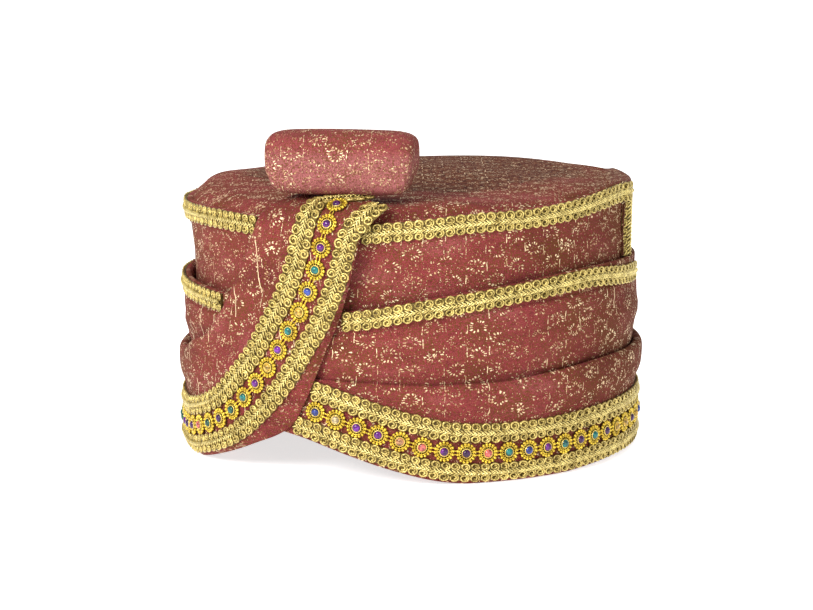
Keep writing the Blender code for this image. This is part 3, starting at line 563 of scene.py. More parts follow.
def cordGroup():
    # metallic yarn wound round a core: colour varies from thread to thread, and its darker share is painted
    # shade in the hollows
    tree, g, inside, outside = newGroup("goldCord", (("Scale", "Float", 1.0),), (
        ("Shade", "Float"), ("Height", "Float")))
    where = g.node("TexCoord").outputs["Object"]
    scaled = g.vector("SCALE", where)
    g.put(scaled.node.inputs["Scale"], inside.outputs[0])
    strands = g.noise(scaled, 1900.0, 2.0, 0.6)
    broad = g.noise(scaled, 260.0, 2.0)
    g.put(outside.inputs[0], g.plus(g.times(strands, 0.65), g.times(broad, 0.35)))
    g.put(outside.inputs[1], strands)
    return tree


cordWeave = cordGroup()


def goldMaterial(name, dark, light, metallic, roughness, bumpSize=0.00025):
    # gilt yarn or metal: colour and roughness follow the shade of its threads, partly their own tone and
    # partly painted shade and highlight
    item, tree, shader = newMaterial(name, Metallic=metallic, Specular_IOR_Level=0.5)
    g = Graph(tree)
    weave = g.node("Group", node_tree=cordWeave)
    shade = weave.outputs["Shade"]
    g.put(shader.inputs["Base Color"], g.mix(g.ramp(shade, 0.36, 0.62), dark, light))
    g.put(shader.inputs["Roughness"], g.ramp(shade, 0.36, 0.62, roughness + 0.12, roughness - 0.06))
    g.put(shader.inputs["Normal"], g.bump(weave.outputs["Height"], 0.6, bumpSize))
    return item


clothFront = brocadeMaterial("brocadeCloth", 0.36, floats=0.02)
clothSash = brocadeMaterial("brocadeSash", 0.40, floats=0.42)
clothPlain = brocadeMaterial("brocadeFold", 0.34, 0.35)
clothCrown = brocadeMaterial("brocadeCrown", 0.62, brown=0.88, brownInside=(0.0200, 0.0790, 0.0930))
clothRoll = brocadeMaterial("brocadeRoll", 0.62, pale=0.92, floats=0.04, paleBand=(0.1490, 0.0050, 0.0130))
clothFlap = brocadeMaterial("brocadeFlap", 0.7, brown=0.35, gloss=0.10)
gimpCord = goldMaterial("gimpCord", (0.150, 0.092, 0.010), (0.80, 0.63, 0.20), 0.55, 0.32)
gimpSpine = goldMaterial("gimpSpine", (0.230, 0.150, 0.020), (0.94, 0.78, 0.29), 0.52, 0.30)
# dark ground under the gimp's cords and behind the rosettes: painted shade
gimpShadeGround = goldMaterial("gimpShadeGround", (0.060, 0.034, 0.007), (0.23, 0.150, 0.027), 0.4, 0.5)
filigree = goldMaterial("filigreeGold", (0.36, 0.215, 0.010), (0.90, 0.67, 0.075), 0.60, 0.30, 0.00012)
paleGold = goldMaterial("bezelGold", (0.50, 0.31, 0.04), (1.00, 0.78, 0.22), 0.6, 0.28, 0.00010)
print("materials made")


# the wound wraps
def upperEdge(turn):
    # height of the top wrap's lip and how far it stands out, at a turn
    made = smoothRound(upperEdgeRows, turn)
    return made[..., 0] * sizes["upperLip"], made[..., 1] * sizes["upperFlare"]


def middleEdge(turn):
    # the same for the second wrap
    made = smoothRound(middleEdgeRows, turn)
    return made[..., 0] * sizes["middleLip"], made[..., 1] * sizes["middleFlare"]


def lipPoint(turn, edge, waist, across, cover):
    # chart of the strip under a lip: across from -half to half the gimp's width, cover out from the cloth
    height, flare = edge(turn)
    top = height - 2 * sizes["gap"]
    share = 0.5 - across / sizes["gimpWidth"]
    radius = waist + flare * (1 - 0.15 * share) + cover
    return place(turn, radius, top - share * sizes["gimpWidth"])


wraps = {
    "segments": 720, "outer": 46, "inner": 14,
    "foldsUpper": (  # turn, height in mm, slope in mm per degree, width in mm, reach in degrees, depth in mm
        (4.0, 113.0, 0.16, 3.4, 24.0, -1.3), (20.0, 103.5, 0.24, 3.6, 26.0, 1.0),
        (46.0, 116.0, 0.10, 4.0, 20.0, -1.4), (60.0, 106.0, 0.20, 3.2, 16.0, 1.0),
        (-64.0, 104.0, 0.30, 4.0, 16.0, 1.2), (-48.0, 111.0, -0.35, 3.6, 14.0, -1.2),
        (120.0, 108.0, 0.10, 4.0, 40.0, 1.0), (170.0, 100.0, -0.14, 3.6, 36.0, -1.2),
        (-140.0, 104.0, 0.15, 4.2, 36.0, 1.0), (-105.0, 96.0, 0.12, 3.4, 26.0, -1.0)),
    "foldsMiddle": (
        (2.0, 70.0, 0.20, 3.6, 24.0, -1.3), (28.0, 62.5, 0.12, 3.2, 24.0, 1.0),
        (48.0, 76.0, 0.16, 4.0, 24.0, -1.5), (68.0, 64.0, 0.24, 3.4, 20.0, 1.1),
        (-70.0, 66.0, 0.25, 3.6, 16.0, 1.2), (95.0, 70.0, -0.08, 4.0, 30.0, 1.0),
        (150.0, 64.0, 0.12, 3.8, 40.0, -1.2), (-160.0, 72.0, -0.10, 4.0, 34.0, 1.0),
        (-115.0, 62.0, 0.14, 3.4, 30.0, -1.0)),
}


def foldRelief(turn, height, folds):
    # sum of soft ridges, each a bell across its own slanting line and a bell along it; result in metres
    total = np.zeros(np.broadcast(turn, height).shape)
    signed = (turn + 180) % 360 - 180
    for centre, level, slope, width, reach, depth in folds:
        along = (signed - centre + 180) % 360 - 180
        line = level + slope * along
        total += depth * mm * bump(height / mm, line, width) * bump(along, 0.0, reach)
    return total


def wrapCloth(name, edge, waist, bulge, nextLip, foot, folds):
    # a wrap turned round the axis: its section runs from the foot, behind the next wrap's lip, out over the
    # belly, behind the gimp, over the lip and down its inner face; radius = waist + a share of the flare
    turns = np.arange(wraps["segments"]) * 360 / wraps["segments"] - 180
    height, flare = edge(turns)
    below, base = nextLip(turns) + 6 * sizes["gap"], foot(turns) + 0 * turns
    cloth = sizes["cloth"]
    top, bottom = height - 2 * sizes["gap"], height - 2 * sizes["gap"] - sizes["gimpWidth"]
    belly = bottom * 0.58 + below * 0.42
    outer = np.stack([
        pair(waist, base), pair(waist, base * 0.5 + below * 0.5), pair(waist, below - 0.0015),
        pair(waist + bulge * 0.45 + flare * 0.08, below + 0.004), pair(waist + bulge + flare * 0.30, belly),
        pair(waist + bulge * 0.8 + flare * 0.55, bottom * 0.8 + belly * 0.2),
        pair(waist + flare * 0.86, bottom), pair(waist + flare * 0.93, (top + bottom) / 2),
        pair(waist + flare, top - 0.0004),
        pair(waist + flare * 0.95 - cloth * 0.15, height + 0.0001),
        pair(waist + flare * 0.8 - cloth * 0.6, height + 0.0003)], 1)
    inner = np.stack([
        pair(waist + flare * 0.55 - cloth, height - cloth * 0.6),
        pair(waist + flare * 0.3 - cloth, height - cloth * 2.5),
        pair(waist - cloth, belly), pair(waist - cloth, base)], 1)
    outerMade, innerMade = through(outer, wraps["outer"]), through(inner, wraps["inner"])
    relief = foldRelief(turns[:, None], outerMade[..., 1], folds)
    fade = np.clip((bottom[:, None] - 0.002 - outerMade[..., 1]) / 0.006, 0, 1)
    fade = fade * np.clip((outerMade[..., 1] - below[:, None]) / 0.008, 0, 1)
    outerMade[..., 0] += relief * fade
    made = np.concatenate((outerMade, innerMade), 1)
    points = place(turns[:, None], made[..., 0], made[..., 1])
    # weave: the turn times the radius, and the height
    level = np.concatenate((made[..., 1], made[:, :1, 1]), 1)
    level = np.concatenate((level, level[:1]))
    along = np.concatenate((turns, [180.0])) * math.pi / 180 * sizes["middleWaist"]
    return skin(name, points, pair(along[:, None], level), [clothFront], closeRows=True)


upperCloth = wrapCloth("upperWrapCloth", upperEdge, sizes["upperWaist"], 0.0,
                       lambda turn: middleEdge(turn)[0], lambda turn: sizes["upperFoot"], wraps["foldsUpper"])
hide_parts("wrap_upper")
middleCloth = wrapCloth("middleWrapCloth", middleEdge, sizes["middleWaist"], sizes["middleBulge"],
                        lambda turn: sizes["lowerLip"] + 0 * turn,
                        lambda turn: sizes["middleFoot"] + arch(turn) * sizes["rimClearance"],
                        wraps["foldsMiddle"])
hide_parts("wrap_middle")
print("upper and middle wraps made")


# the lowest wrap and its border
lowerWrap = {"stepLength": 0.0020, "tucked": 0.0045, "outer": 58, "inner": 18, "sashTurn": 290.0,
             "narrower": (319.0, 334.0),  # turns between which the folded strip narrows by half
             "waves": ((0.5, 0.021, 0.0), (0.35, 0.0137, 1.3), (0.6, 0.047, 0.4)), "waveHigh": 0.00032,
             "pleats": (  # share of the cloth above the border, width and depth in mm, start and end
                 (0.34, 2.4, -0.7, 0.86, 0.97), (0.55, 2.8, 0.8, 0.84, 0.985), (0.78, 2.2, -0.6, 0.85, 0.98))}
routeSteps = np.hypot(np.diff(np.radians(chainRoute[:, 0])) * sizes["lowerWaist"],
                      np.diff(chainRoute[:, 1]) * sizes["bodyHeight"])
routeRows = np.column_stack((np.concatenate(([0.0], np.cumsum(routeSteps))), chainRoute))
denseRoute = np.linspace(0, routeRows[-1, 0], 4000)
denseTurn = smooth(routeRows, denseRoute)[:, 0]


def distanceOf(turn):
    # way along the chain's route at a turn
    return float(np.interp(turn, denseTurn, denseRoute))


def routeAt(distance):
    # the lowest wrap's section at a way along its route, in metres: where the chain runs, how far the cloth
    # goes above it, the folded strip below it, and lean = atan2(rise, run) of the route
    made = smooth(routeRows, distance)
    turn, height, above, strip, bulge, lift, padding = np.moveaxis(made, -1, 0)
    ahead, back = smooth(routeRows, distance + mm), smooth(routeRows, distance - mm)
    run = np.radians(ahead[..., 0] - back[..., 0]) * sizes["lowerWaist"]
    rise = (ahead[..., 1] - back[..., 1]) * sizes["bodyHeight"]
    narrower = 1.0 - 0.5 * step(turn, *lowerWrap["narrower"])
    return {"turn": turn, "height": height * sizes["bodyHeight"], "above": above * sizes["wrapAbove"],
            "strip": np.maximum(strip, 0) * sizes["foldStrip"] * narrower,
            "bulge": np.maximum(bulge, 0) * sizes["lipBulge"],
            "wall": sizes["lowerWaist"] - sizes["cloth"] + np.maximum(lift, 0) * sizes["overlapLift"],
            "border": sizes["cloth"] + np.maximum(padding, 0) * sizes["sashFold"],
            "padding": np.maximum(padding, 0), "lean": np.arctan2(rise, run)}


def drape(row, across, cover):
    # point of the wrap across from the chain and cover out from its inner face: it goes straight up the wall
    # and, past the crown's shoulder, inwards over the dome as drapeRows say
    turn = row["turn"] - np.degrees(across * np.sin(row["lean"]) / sizes["lowerWaist"])
    length = (row["height"] + across * np.cos(row["lean"])) / sizes["bodyHeight"]
    made = smooth(drapeRows, length)
    ahead, back = smooth(drapeRows, length + 0.002), smooth(drapeRows, length - 0.002)
    out = (ahead[..., 1] - back[..., 1]) * sizes["bodyHeight"]
    rise = (ahead[..., 0] - back[..., 0]) * sizes["capSide"]
    size = np.hypot(out, rise)
    radius = row["wall"] - made[..., 0] * sizes["capSide"] + cover * out / size
    return place(turn, radius, np.maximum(made[..., 1] * sizes["bodyHeight"], 0) + cover * rise / size)


def borderReach(row):
    # how far the border goes below the chain, no lower than the floor
    return np.minimum(sizes["borderHalf"], row["height"] / np.cos(row["lean"]))


def borderChord(row):
    # the border's face is flat from the lower gimp to its top: both ends, and how far up the top is
    top = np.minimum(sizes["borderHalf"], row["above"] * 0.9)
    low = drape(row, -sizes["chainHalf"] + 0 * top, row["border"])
    high = drape(row, top, row["border"])
    return low, high, top


def column(row):
    # the section's values as columns, to go with points across it
    return {key: value[:, None] for key, value in row.items()}


def lowerCloth():
    # the section of routeAt carried along the route and laid down by drape; outer runs up the outer face from
    # the folded strip's edge to the lip, inner back down; each point is (across from the chain, cover)
    total = routeRows[-1, 0]
    distance = np.linspace(0, total - lowerWrap["tucked"], int(total / lowerWrap["stepLength"]))
    row = routeAt(distance)
    cloth, half = sizes["cloth"], sizes["chainHalf"]
    reach, above, bulge, border = borderReach(row), row["above"], row["bulge"], row["border"]
    foot = reach + row["strip"]
    edge = cloth * 0.7 * (1 - row["padding"]) + sizes["foldEdge"] * row["padding"]
    shoulder = np.minimum(sizes["borderHalf"], above * 0.9)
    crest = np.maximum(above - sizes["lipRound"], shoulder + 0.4 * (above - shoulder))
    middle = (shoulder + crest) / 2
    stripTop = -reach - row["strip"] * 0.15
    stripMiddle = -reach - row["strip"] * 0.55
    outer = np.stack([
        pair(-foot, edge * 0.7), pair(-foot + 0.0006, edge + 0.0004),
        pair(np.maximum(stripMiddle, -foot + 0.0010), (edge + border) / 2 + 0.0003 * row["padding"]),
        pair(np.maximum(stripTop, -foot + 0.0014), border - 0.0002), pair(-reach + 0.003, border),
        pair(-half + 0 * above, border), pair(shoulder * 0.3, border), pair(shoulder * 0.8, border),
        pair(shoulder + (middle - shoulder) * 0.25, border * 0.75 + (cloth + bulge * 0.5) * 0.25),
        pair(middle, cloth + bulge * 0.86), pair(crest, cloth + bulge),
        pair(above - 0.0012, cloth * 0.8 + bulge * 0.86), pair(above - 0.0001, cloth * 0.45 + bulge * 0.62),
        pair(above - 0.0008, bulge * 0.35)], 1)
    inner = np.stack([
        pair(crest, bulge * 0.10), pair(middle, 0.0), pair(shoulder * 0.7, 0.0), pair(-half + 0 * above, 0.0),
        pair(-reach + 0.001, 0.0), pair(-foot + 0.0002, 0.0)], 1)
    made = np.concatenate((through(outer, lowerWrap["outer"]), through(inner, lowerWrap["inner"])), 1)
    across, cover = made[..., 0], np.maximum(made[..., 1], 0.0)
    # pleats that run along the climbing cloth
    run = distance[:, None] / total
    outerSide = np.arange(made.shape[1]) < lowerWrap["outer"] - 3
    for share, width, depth, first, last in lowerWrap["pleats"]:
        line = (shoulder + (above - shoulder) * share)[:, None]
        pleat = outerSide * depth * mm * bump(across / mm, line / mm, width)
        cover = cover + pleat * step(run, first - 0.03, first + 0.03) * (1 - step(run, last, last + 0.02))
    # slow waves of the soft edge and the panel: a sum of three sines along the route
    wave = sum(size * np.sin(distance / length + shift) for size, length, shift in lowerWrap["waves"])
    body = np.clip((across - shoulder[:, None] - 0.003) / 0.008, 0, 1)
    cover = cover + outerSide * body * wave[:, None] * lowerWrap["waveHigh"]
    points = drape(column(row), across, cover)
    # weave: the turn times the radius, and the height along the cloth, so that the rows lie level
    lean = row["lean"][:, None]
    level = row["height"][:, None] + across * np.cos(lean)
    along = np.radians(row["turn"])[:, None] * sizes["lowerWaist"] - across * np.sin(lean)
    uv = pair(along, level)
    uv = np.concatenate((uv, uv[:, :1]), 1)
    piece = skin("lowerWrapCloth", points, uv, [clothFront, clothPlain, clothSash])
    # the folded strip is plain cloth, and the climbing part has its own weave
    strip = (across < (-reach[:, None] + 0.001)) & (row["strip"][:, None] > 0.0006)
    climbing = np.broadcast_to((row["turn"] > lowerWrap["sashTurn"])[:, None], strip.shape)
    marks = np.zeros(len(piece.data.polygons), np.int32)
    marks[:(len(points) - 1) * made.shape[1]] = np.where(strip, 1, np.where(climbing, 2, 0))[:-1].ravel()
    piece.data.polygons.foreach_set("material_index", marks)
    return piece


lowerPiece = lowerCloth()
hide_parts("wrap_lower")
print("lowest wrap made")


# gimp braid
gimp = {"loopPitch": 0.0050, "rowOffset": 0.00284, "curlWide": 0.00198, "curlTight": 0.00052,
        "curlCord": 0.00051, "curlTurns": 1.60, "curlStretch": 1.14, "curlStart": -0.62, "curlLevel": 0.00092,
        "overlap": 0.00034, "uneven": 0.00010, "unevenSize": 0.05, "unevenTurn": 0.25,
        "braidPitch": 0.0019, "braidLong": 0.0026, "braidHalf": 0.00130, "braidCord": 0.00044,
        "braidLevel": 0.00140, "braidRise": 0.00075, "braidMeet": 0.0002,
        "ground": 0.0006, "groundShare": 0.90, "groundStep": 0.004,
        "nearChain": 0.0006, "climbWide": 0.16, "climbOut": 0.0014,
        # bends in under the roll: how far, and where it starts before and ends past the border's end
        "bendUpper": (0.0190, 0.004, 0.013), "bendLower": (0.0100, 0.014, 0.010),
        "pointsInCurl": 18, "pointsInStroke": 5, "sides": 5}


def flatGimp(name, laid, first, last, node, narrow=None):
    # laid(along, across, cover) gives points; along runs from first to last in metres. Both edges are rows of
    # curls, along = c + s r cos t and across = offset + r sin t with r = wide - (wide - tight) share^1.6;
    # between them short strokes lean in from both sides, across = side (h - (h + meet) share)
    shape = narrow if narrow is not None else (lambda along: 1.0 + 0 * along)
    ticks = np.linspace(first - 0.004, last + 0.004, 1600)
    spots = laid(ticks, 0 * ticks, 0 * ticks)
    lengths = np.concatenate(([0.0], np.cumsum(np.linalg.norm(np.diff(spots, axis=0), axis=1))))
    lengths -= np.interp(first, ticks, lengths)
    length = float(np.interp(last, ticks, lengths))
    grids, faces, marks, total = [], [], [], 0

    def chart(along, across, cover):
        # along is a length measured on the laid gimp itself; across is squeezed where the border is narrow
        spot = np.interp(along, lengths, ticks)
        return laid(spot, across * shape(spot), cover)

    def keep(points, newFaces, mark):
        # keep a new part of the gimp: its points, faces and material
        nonlocal total
        grids.append(points.reshape(-1, 3))
        faces.extend(newFaces)
        marks.extend([mark] * len(newFaces))
        total += points.size // 3

    def cords(along, across, cover, radius, mark):
        # tubes along k paths of n points
        here = chart(along, across, cover)
        grid = tubeGrid(here, unit(chart(along, across, cover + mm) - here), radius, gimp["sides"])
        keep(grid, tubeFaces(grid, total), mark)

    loops = max(2, int(round(length / gimp["loopPitch"])))
    pitch = length / loops
    random = np.random.default_rng(7)
    share = np.linspace(0, 1, gimp["pointsInCurl"])[None]
    for side in (1.0, -1.0):
        middles = (pitch * (np.arange(loops) + 0.5) + random.normal(0, gimp["uneven"], loops))[:, None]
        grown = (1 + random.normal(0, gimp["unevenSize"], loops))[:, None]
        spin = gimp["curlStart"] * np.pi + random.normal(0, gimp["unevenTurn"], loops)[:, None]
        spin = spin + 2 * np.pi * gimp["curlTurns"] * share
        wide = (gimp["curlWide"] - (gimp["curlWide"] - gimp["curlTight"]) * share ** 1.6) * grown
        along = np.clip(middles + gimp["curlStretch"] * wide * np.cos(spin), 0.0, length)
        across = side * (gimp["rowOffset"] + wide * np.sin(spin))
        cover = gimp["curlLevel"] + gimp["overlap"] * np.cos(spin) * (1 - share) + 0.00040 * share
        cords(along, across, cover, gimp["curlCord"], 0)
    strokes = max(2, int(length / gimp["braidPitch"]))
    share = np.linspace(0, 1, gimp["pointsInStroke"])[None]
    for side in (1.0, -1.0):
        start = (np.arange(strokes) + 0.25 + 0.25 * side)[:, None] * (length - gimp["braidLong"]) / strokes
        along = start + gimp["braidLong"] * share + random.normal(0, gimp["uneven"], strokes)[:, None]
        across = side * (gimp["braidHalf"] - (gimp["braidHalf"] + gimp["braidMeet"]) * share)
        cover = gimp["braidLevel"] + gimp["braidRise"] * np.sin(share * np.pi * 0.62)
        width = gimp["braidCord"] * (0.45 + 0.55 * np.sin(np.pi * share) ** 0.6)
        cords(along, across, cover, np.broadcast_to(width, along.shape), 1)
    # dark ribbon under the cords: painted shade between the curls
    steps = max(2, int(length / gimp["groundStep"]))
    along = np.linspace(0.0, length, steps + 1)
    half, high, thin = sizes["gimpWidth"] / 2 * gimp["groundShare"], gimp["ground"], 0.00005
    edge = [(-half, thin), (-half * 0.9, high), (0.0, high * 1.5), (half * 0.9, high), (half, thin)]
    ribbon = np.stack([chart(along, across, cover + 0 * along) for across, cover in edge], 1)
    sides = gridFaces(steps + 1, len(edge), False, True, total).tolist()
    keep(ribbon, sides + endFaces(total, steps + 1, len(edge)), 2)
    piece = makeMesh(name, np.concatenate(grids), faces, [gimpCord, gimpSpine, gimpShadeGround], None, marks)
    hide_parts(node)
    return piece


lipRaise = 0.0010  # the gimp's upper curls stand over the lip at the front
flap = {"start": 71.5, "end": 107.0, "reach": 0.0065, "cloth": 0.0014, "taper": 7.0, "outer": 40, "inner": 20,
        "lean": 34.0}  # turns of its two edges; lean in degrees of the gimp's front half over its front edge


def lipChart(edge, waist, rideOver=0.0, drop=0.0):
    # strip under a lip; with rideOver its end climbs on to the flap, with drop it sinks below the lip's right
    def chart(along, across, cover):
        turn = np.degrees(along / waist)
        lift = rideOver * step(turn, flap["start"] - 4.0, flap["start"])
        raised = lipRaise * (1 - step(turn, 95.0, 108.0) * (1 - step(turn, 255.0, 270.0)))
        lowered = drop * step(turn, 46.0, 74.0)
        return lipPoint(turn, edge, waist, across + raised - lowered, cover + sizes["gap"] + lift)
    return chart


def lipGimp(name, edge, waist, first, last, node, rideOver=0.0, drop=0.0):
    # gimp under a lip from one turn to another
    chart = lipChart(edge, waist, rideOver, drop)
    return flatGimp(name, chart, math.radians(first) * waist, math.radians(last) * waist, node)


gimpEnds = {  # turns at which each gimp starts and ends, in front of the flap and behind it
    "upper": (-12.2, 76.5, 108.0, 319.6), "middle": (-16.6, 79.0, 108.0, 307.2),
    "borderTop": -25.0, "borderBottom": -28.0, "borderEnd": 0.982,  # end as a share of the crown's height
    "chainStart": -22.9, "sashTurn": 289.0, "sashShift": 0.0016, "sashStretch": 1.033}
first, last, again, end = gimpEnds["upper"]
lipGimp("upperGimpFront", upperEdge, sizes["upperWaist"], first, last, "gimp_upper_front", 0.0019)
lipGimp("upperGimpBack", upperEdge, sizes["upperWaist"], again, end, "gimp_upper_back")
first, last, again, end = gimpEnds["middle"]
lipGimp("middleGimpFront", middleEdge, sizes["middleWaist"], first, last, "gimp_middle_front", drop=0.0032)
lipGimp("middleGimpBack", middleEdge, sizes["middleWaist"], again, end, "gimp_middle_back")
borderEnd = float(np.interp(gimpEnds["borderEnd"], routeRows[-4:, 2], routeRows[-4:, 0]))


def climbing(along):
    # 0 on the hem, 1 on the climbing part
    return step(along, distanceOf(300.0), distanceOf(322.0))


def borderChart(side):
    # side 1 is the gimp above the chain, -1 the one below it; both bend in under the roll
    def chart(along, across, cover):
        along = np.asarray(along, float)
        row = routeAt(along)
        if side > 0:
            centre = (sizes["chainHalf"] + sizes["borderHalf"]) / 2
            centre = centre - gimp["nearChain"] * (1 - climbing(along))
            bend, before, past = gimp["bendUpper"]
        else:
            centre = -(borderReach(row) - 2 * sizes["gap"] + sizes["chainHalf"]) / 2 + gimp["nearChain"]
            centre = centre - gimp["climbOut"] * climbing(along)
            bend, before, past = gimp["bendLower"]
        centre = centre - bend * step(along, borderEnd - before, borderEnd + past)
        wider = 1 + gimp["climbWide"] * climbing(along)
        return drape(row, centre + across * wider, row["border"] + cover + sizes["gap"])
    return chart


def lowerNarrow(along):
    # the lower gimp is as wide as the border leaves it over the floor
    row = routeAt(np.asarray(along, float))
    return (borderReach(row) - 2 * sizes["gap"] - sizes["chainHalf"]) / sizes["gimpWidth"]


flatGimp("borderGimpUpper", borderChart(1), distanceOf(gimpEnds["borderTop"]), borderEnd + 0.013,
         "gimp_border_upper")
flatGimp("borderGimpLower", borderChart(-1), distanceOf(gimpEnds["borderBottom"]), borderEnd + 0.006,
         "gimp_border_lower", lowerNarrow)
print("gimps made")


# jewelled chain
jewels = {
    "petals": 16, "petalAt": 0.00440, "petal": 0.00084, "ringAt": 0.00350, "ring": 0.00026,
    "spokeFrom": 0.0026, "spoke": 0.00022, "bezelAt": 0.00218, "bezel": 0.00026, "stone": 0.00202,
    "stoneRings": (  # share of its radius, height
        (1.0, 0.0), (1.0, 0.0006), (0.88, 0.00118), (0.64, 0.00160), (0.30, 0.00184)),
    "disc": 0.0043, "discHigh": 0.00035, "level": 0.0011,
    "wire": 0.00030, "wireApart": 0.00085, "rimIn": 0.0006,
}
stoneColours = {
    "blue": (0.035, 0.060, 0.330), "pearl": (0.800, 0.620, 0.330), "bright": (0.230, 0.020, 0.420),
    "purple": (0.150, 0.008, 0.230), "goldPink": (0.720, 0.330, 0.150), "salmon": (0.800, 0.170, 0.140),
    "dark": (0.075, 0.004, 0.105), "teal": (0.010, 0.210, 0.190), "gold": (0.750, 0.450, 0.060),
    "green": (0.010, 0.110, 0.070), "lightBlue": (0.050, 0.090, 0.440),
}
stoneOrder = list(stoneColours)


def stoneMaterial(name, colour):
    # glossy stone, cloudy between a deep and a lit share of its colour
    item, tree, shader = newMaterial("stone_" + name, Roughness=0.09, Specular_IOR_Level=0.5)
    g = Graph(tree)
    cloud = g.noise(g.node("TexCoord").outputs["Object"], 700.0, 1.0)
    deep = tuple(value * 0.22 for value in colour)
    lit = tuple(value * 0.80 for value in colour)
    g.put(shader.inputs["Base Color"], g.mix(g.ramp(cloud, 0.35, 0.65), deep, lit))
    return item


stoneMaterials = [stoneMaterial(name, stoneColours[name]) for name in stoneOrder]


def ringPoints(count, radius, level):
    # points round the axis: radius (cos a, sin a), at a level
    angle = np.arange(count) * 2 * np.pi / count
    return np.stack((radius * np.cos(angle), radius * np.sin(angle), level + 0 * angle), -1)


def rosetteShape():
    # one rosette round the origin, its face towards +Z: points, faces and materials, where 0 is gilt, 1 the
    # bezel, 2 the stone and 3 the dark disc behind it, painted shade in the gaps between the spokes
    points, faces, marks = [], [], []

    def add(newPoints, newFaces, mark):
        # keep a new part's points, its faces after those already there, and its material
        start = sum(len(part) for part in points)
        points.append(np.asarray(newPoints).reshape(-1, 3))
        faces.extend([[start + corner for corner in face] for face in newFaces])
        marks.extend([mark] * len(newFaces))

    def torus(radius, tube, level, count, sides, mark):
        # (radius + tube cos b)(cos a, sin a), level + tube sin b
        around = np.arange(count) * 2 * np.pi / count
        angle = np.arange(sides) * 2 * np.pi / sides
        reach = radius + tube * np.cos(angle)[None]
        made = np.stack((reach * np.cos(around)[:, None], reach * np.sin(around)[:, None],
                         np.broadcast_to(level + tube * np.sin(angle), (count, sides))), -1)
        add(made, gridFaces(count, sides, True, True).tolist(), mark)

    def bead(centre, radius, mark):
        # a low-poly ball: two poles and two rings of six, at shares of its radius
        pole = np.array((0, 0, radius))[None]
        rings = [ringPoints(6, radius * math.sqrt(1 - high * high), radius * high) for high in (-0.5, 0.35)]
        made = centre + np.concatenate([-pole] + rings + [pole])
        listed = []
        for side in range(6):
            after = (side + 1) % 6
            listed += [[0, 1 + after, 1 + side], [1 + side, 1 + after, 7 + after, 7 + side],
                       [13, 7 + side, 7 + after]]
        add(made, listed, mark)

    def stack(rings, sides, mark):
        # rings one over the other, closed by a face at each end
        add(np.concatenate(rings), gridFaces(len(rings), sides, False, True)[:, ::-1].tolist()
            + endFaces(0, len(rings), sides), mark)

    level = jewels["level"]
    # disc behind the filigree, dark: painted shade seen through the gaps
    stack([ringPoints(20, jewels["disc"], high) for high in (0.0, jewels["discHigh"])], 20, 3)
    upwards = np.array((0, 0, level))
    for petal in range(jewels["petals"]):
        angle = (petal + 0.5) * 2 * math.pi / jewels["petals"]
        direction = np.array((math.cos(angle), math.sin(angle), 0.0))
        bead(direction * jewels["petalAt"] + upwards, jewels["petal"], 0)
        path = direction[None] * np.linspace(jewels["spokeFrom"], jewels["petalAt"], 3)[:, None] + upwards
        grid = tubeGrid(path[None], np.array((0, 0, 1.0)) + 0 * path[None], jewels["spoke"], 4)
        add(grid, tubeFaces(grid), 0)
    torus(jewels["ringAt"], jewels["ring"], level + 0.0001, 24, 5, 0)
    torus(jewels["bezelAt"], jewels["bezel"], level + 0.00045, 20, 6, 1)
    stack([ringPoints(12, jewels["stone"] * share, level + high) for share, high in jewels["stoneRings"]],
          12, 2)
    return np.concatenate(points), faces, np.array(marks)


def chainCentre(distance):
    # where the chain's middle lies on the border's flat face, and the way across it
    low, high, top = borderChord(routeAt(distance))
    share = (sizes["chainHalf"] / (top + sizes["chainHalf"]))[:, None]
    return low + (high - low) * share, unit(high - low)


def frameAt(distance):
    # seat and axes of rosettes at distances along the chain: along, across and out = along x across, outwards
    centre, across = chainCentre(distance)
    along = chainCentre(distance + 0.002)[0] - chainCentre(distance - 0.002)[0]
    along = unit(along - across * (along * across).sum(-1, keepdims=True))
    out = np.cross(along, across)
    row = routeAt(distance)
    outward = drape(row, 0 * distance, row["border"] + 0.002) - drape(row, 0 * distance, row["border"])
    out = out * np.sign((out * outward).sum(-1, keepdims=True))
    return centre + out * sizes["gap"] * 1.3, along, across, out


chainTicks = np.linspace(distanceOf(gimpEnds["chainStart"]), borderEnd + 0.030, 5000)
chainSpots = frameAt(chainTicks)[0]
chainLengths = np.concatenate(([0.0], np.cumsum(np.linalg.norm(np.diff(chainSpots, axis=0), axis=1))))


def chainPlace(length):
    # place on the wrap's route of a length measured along the chain itself
    return np.interp(length, chainLengths, chainTicks)


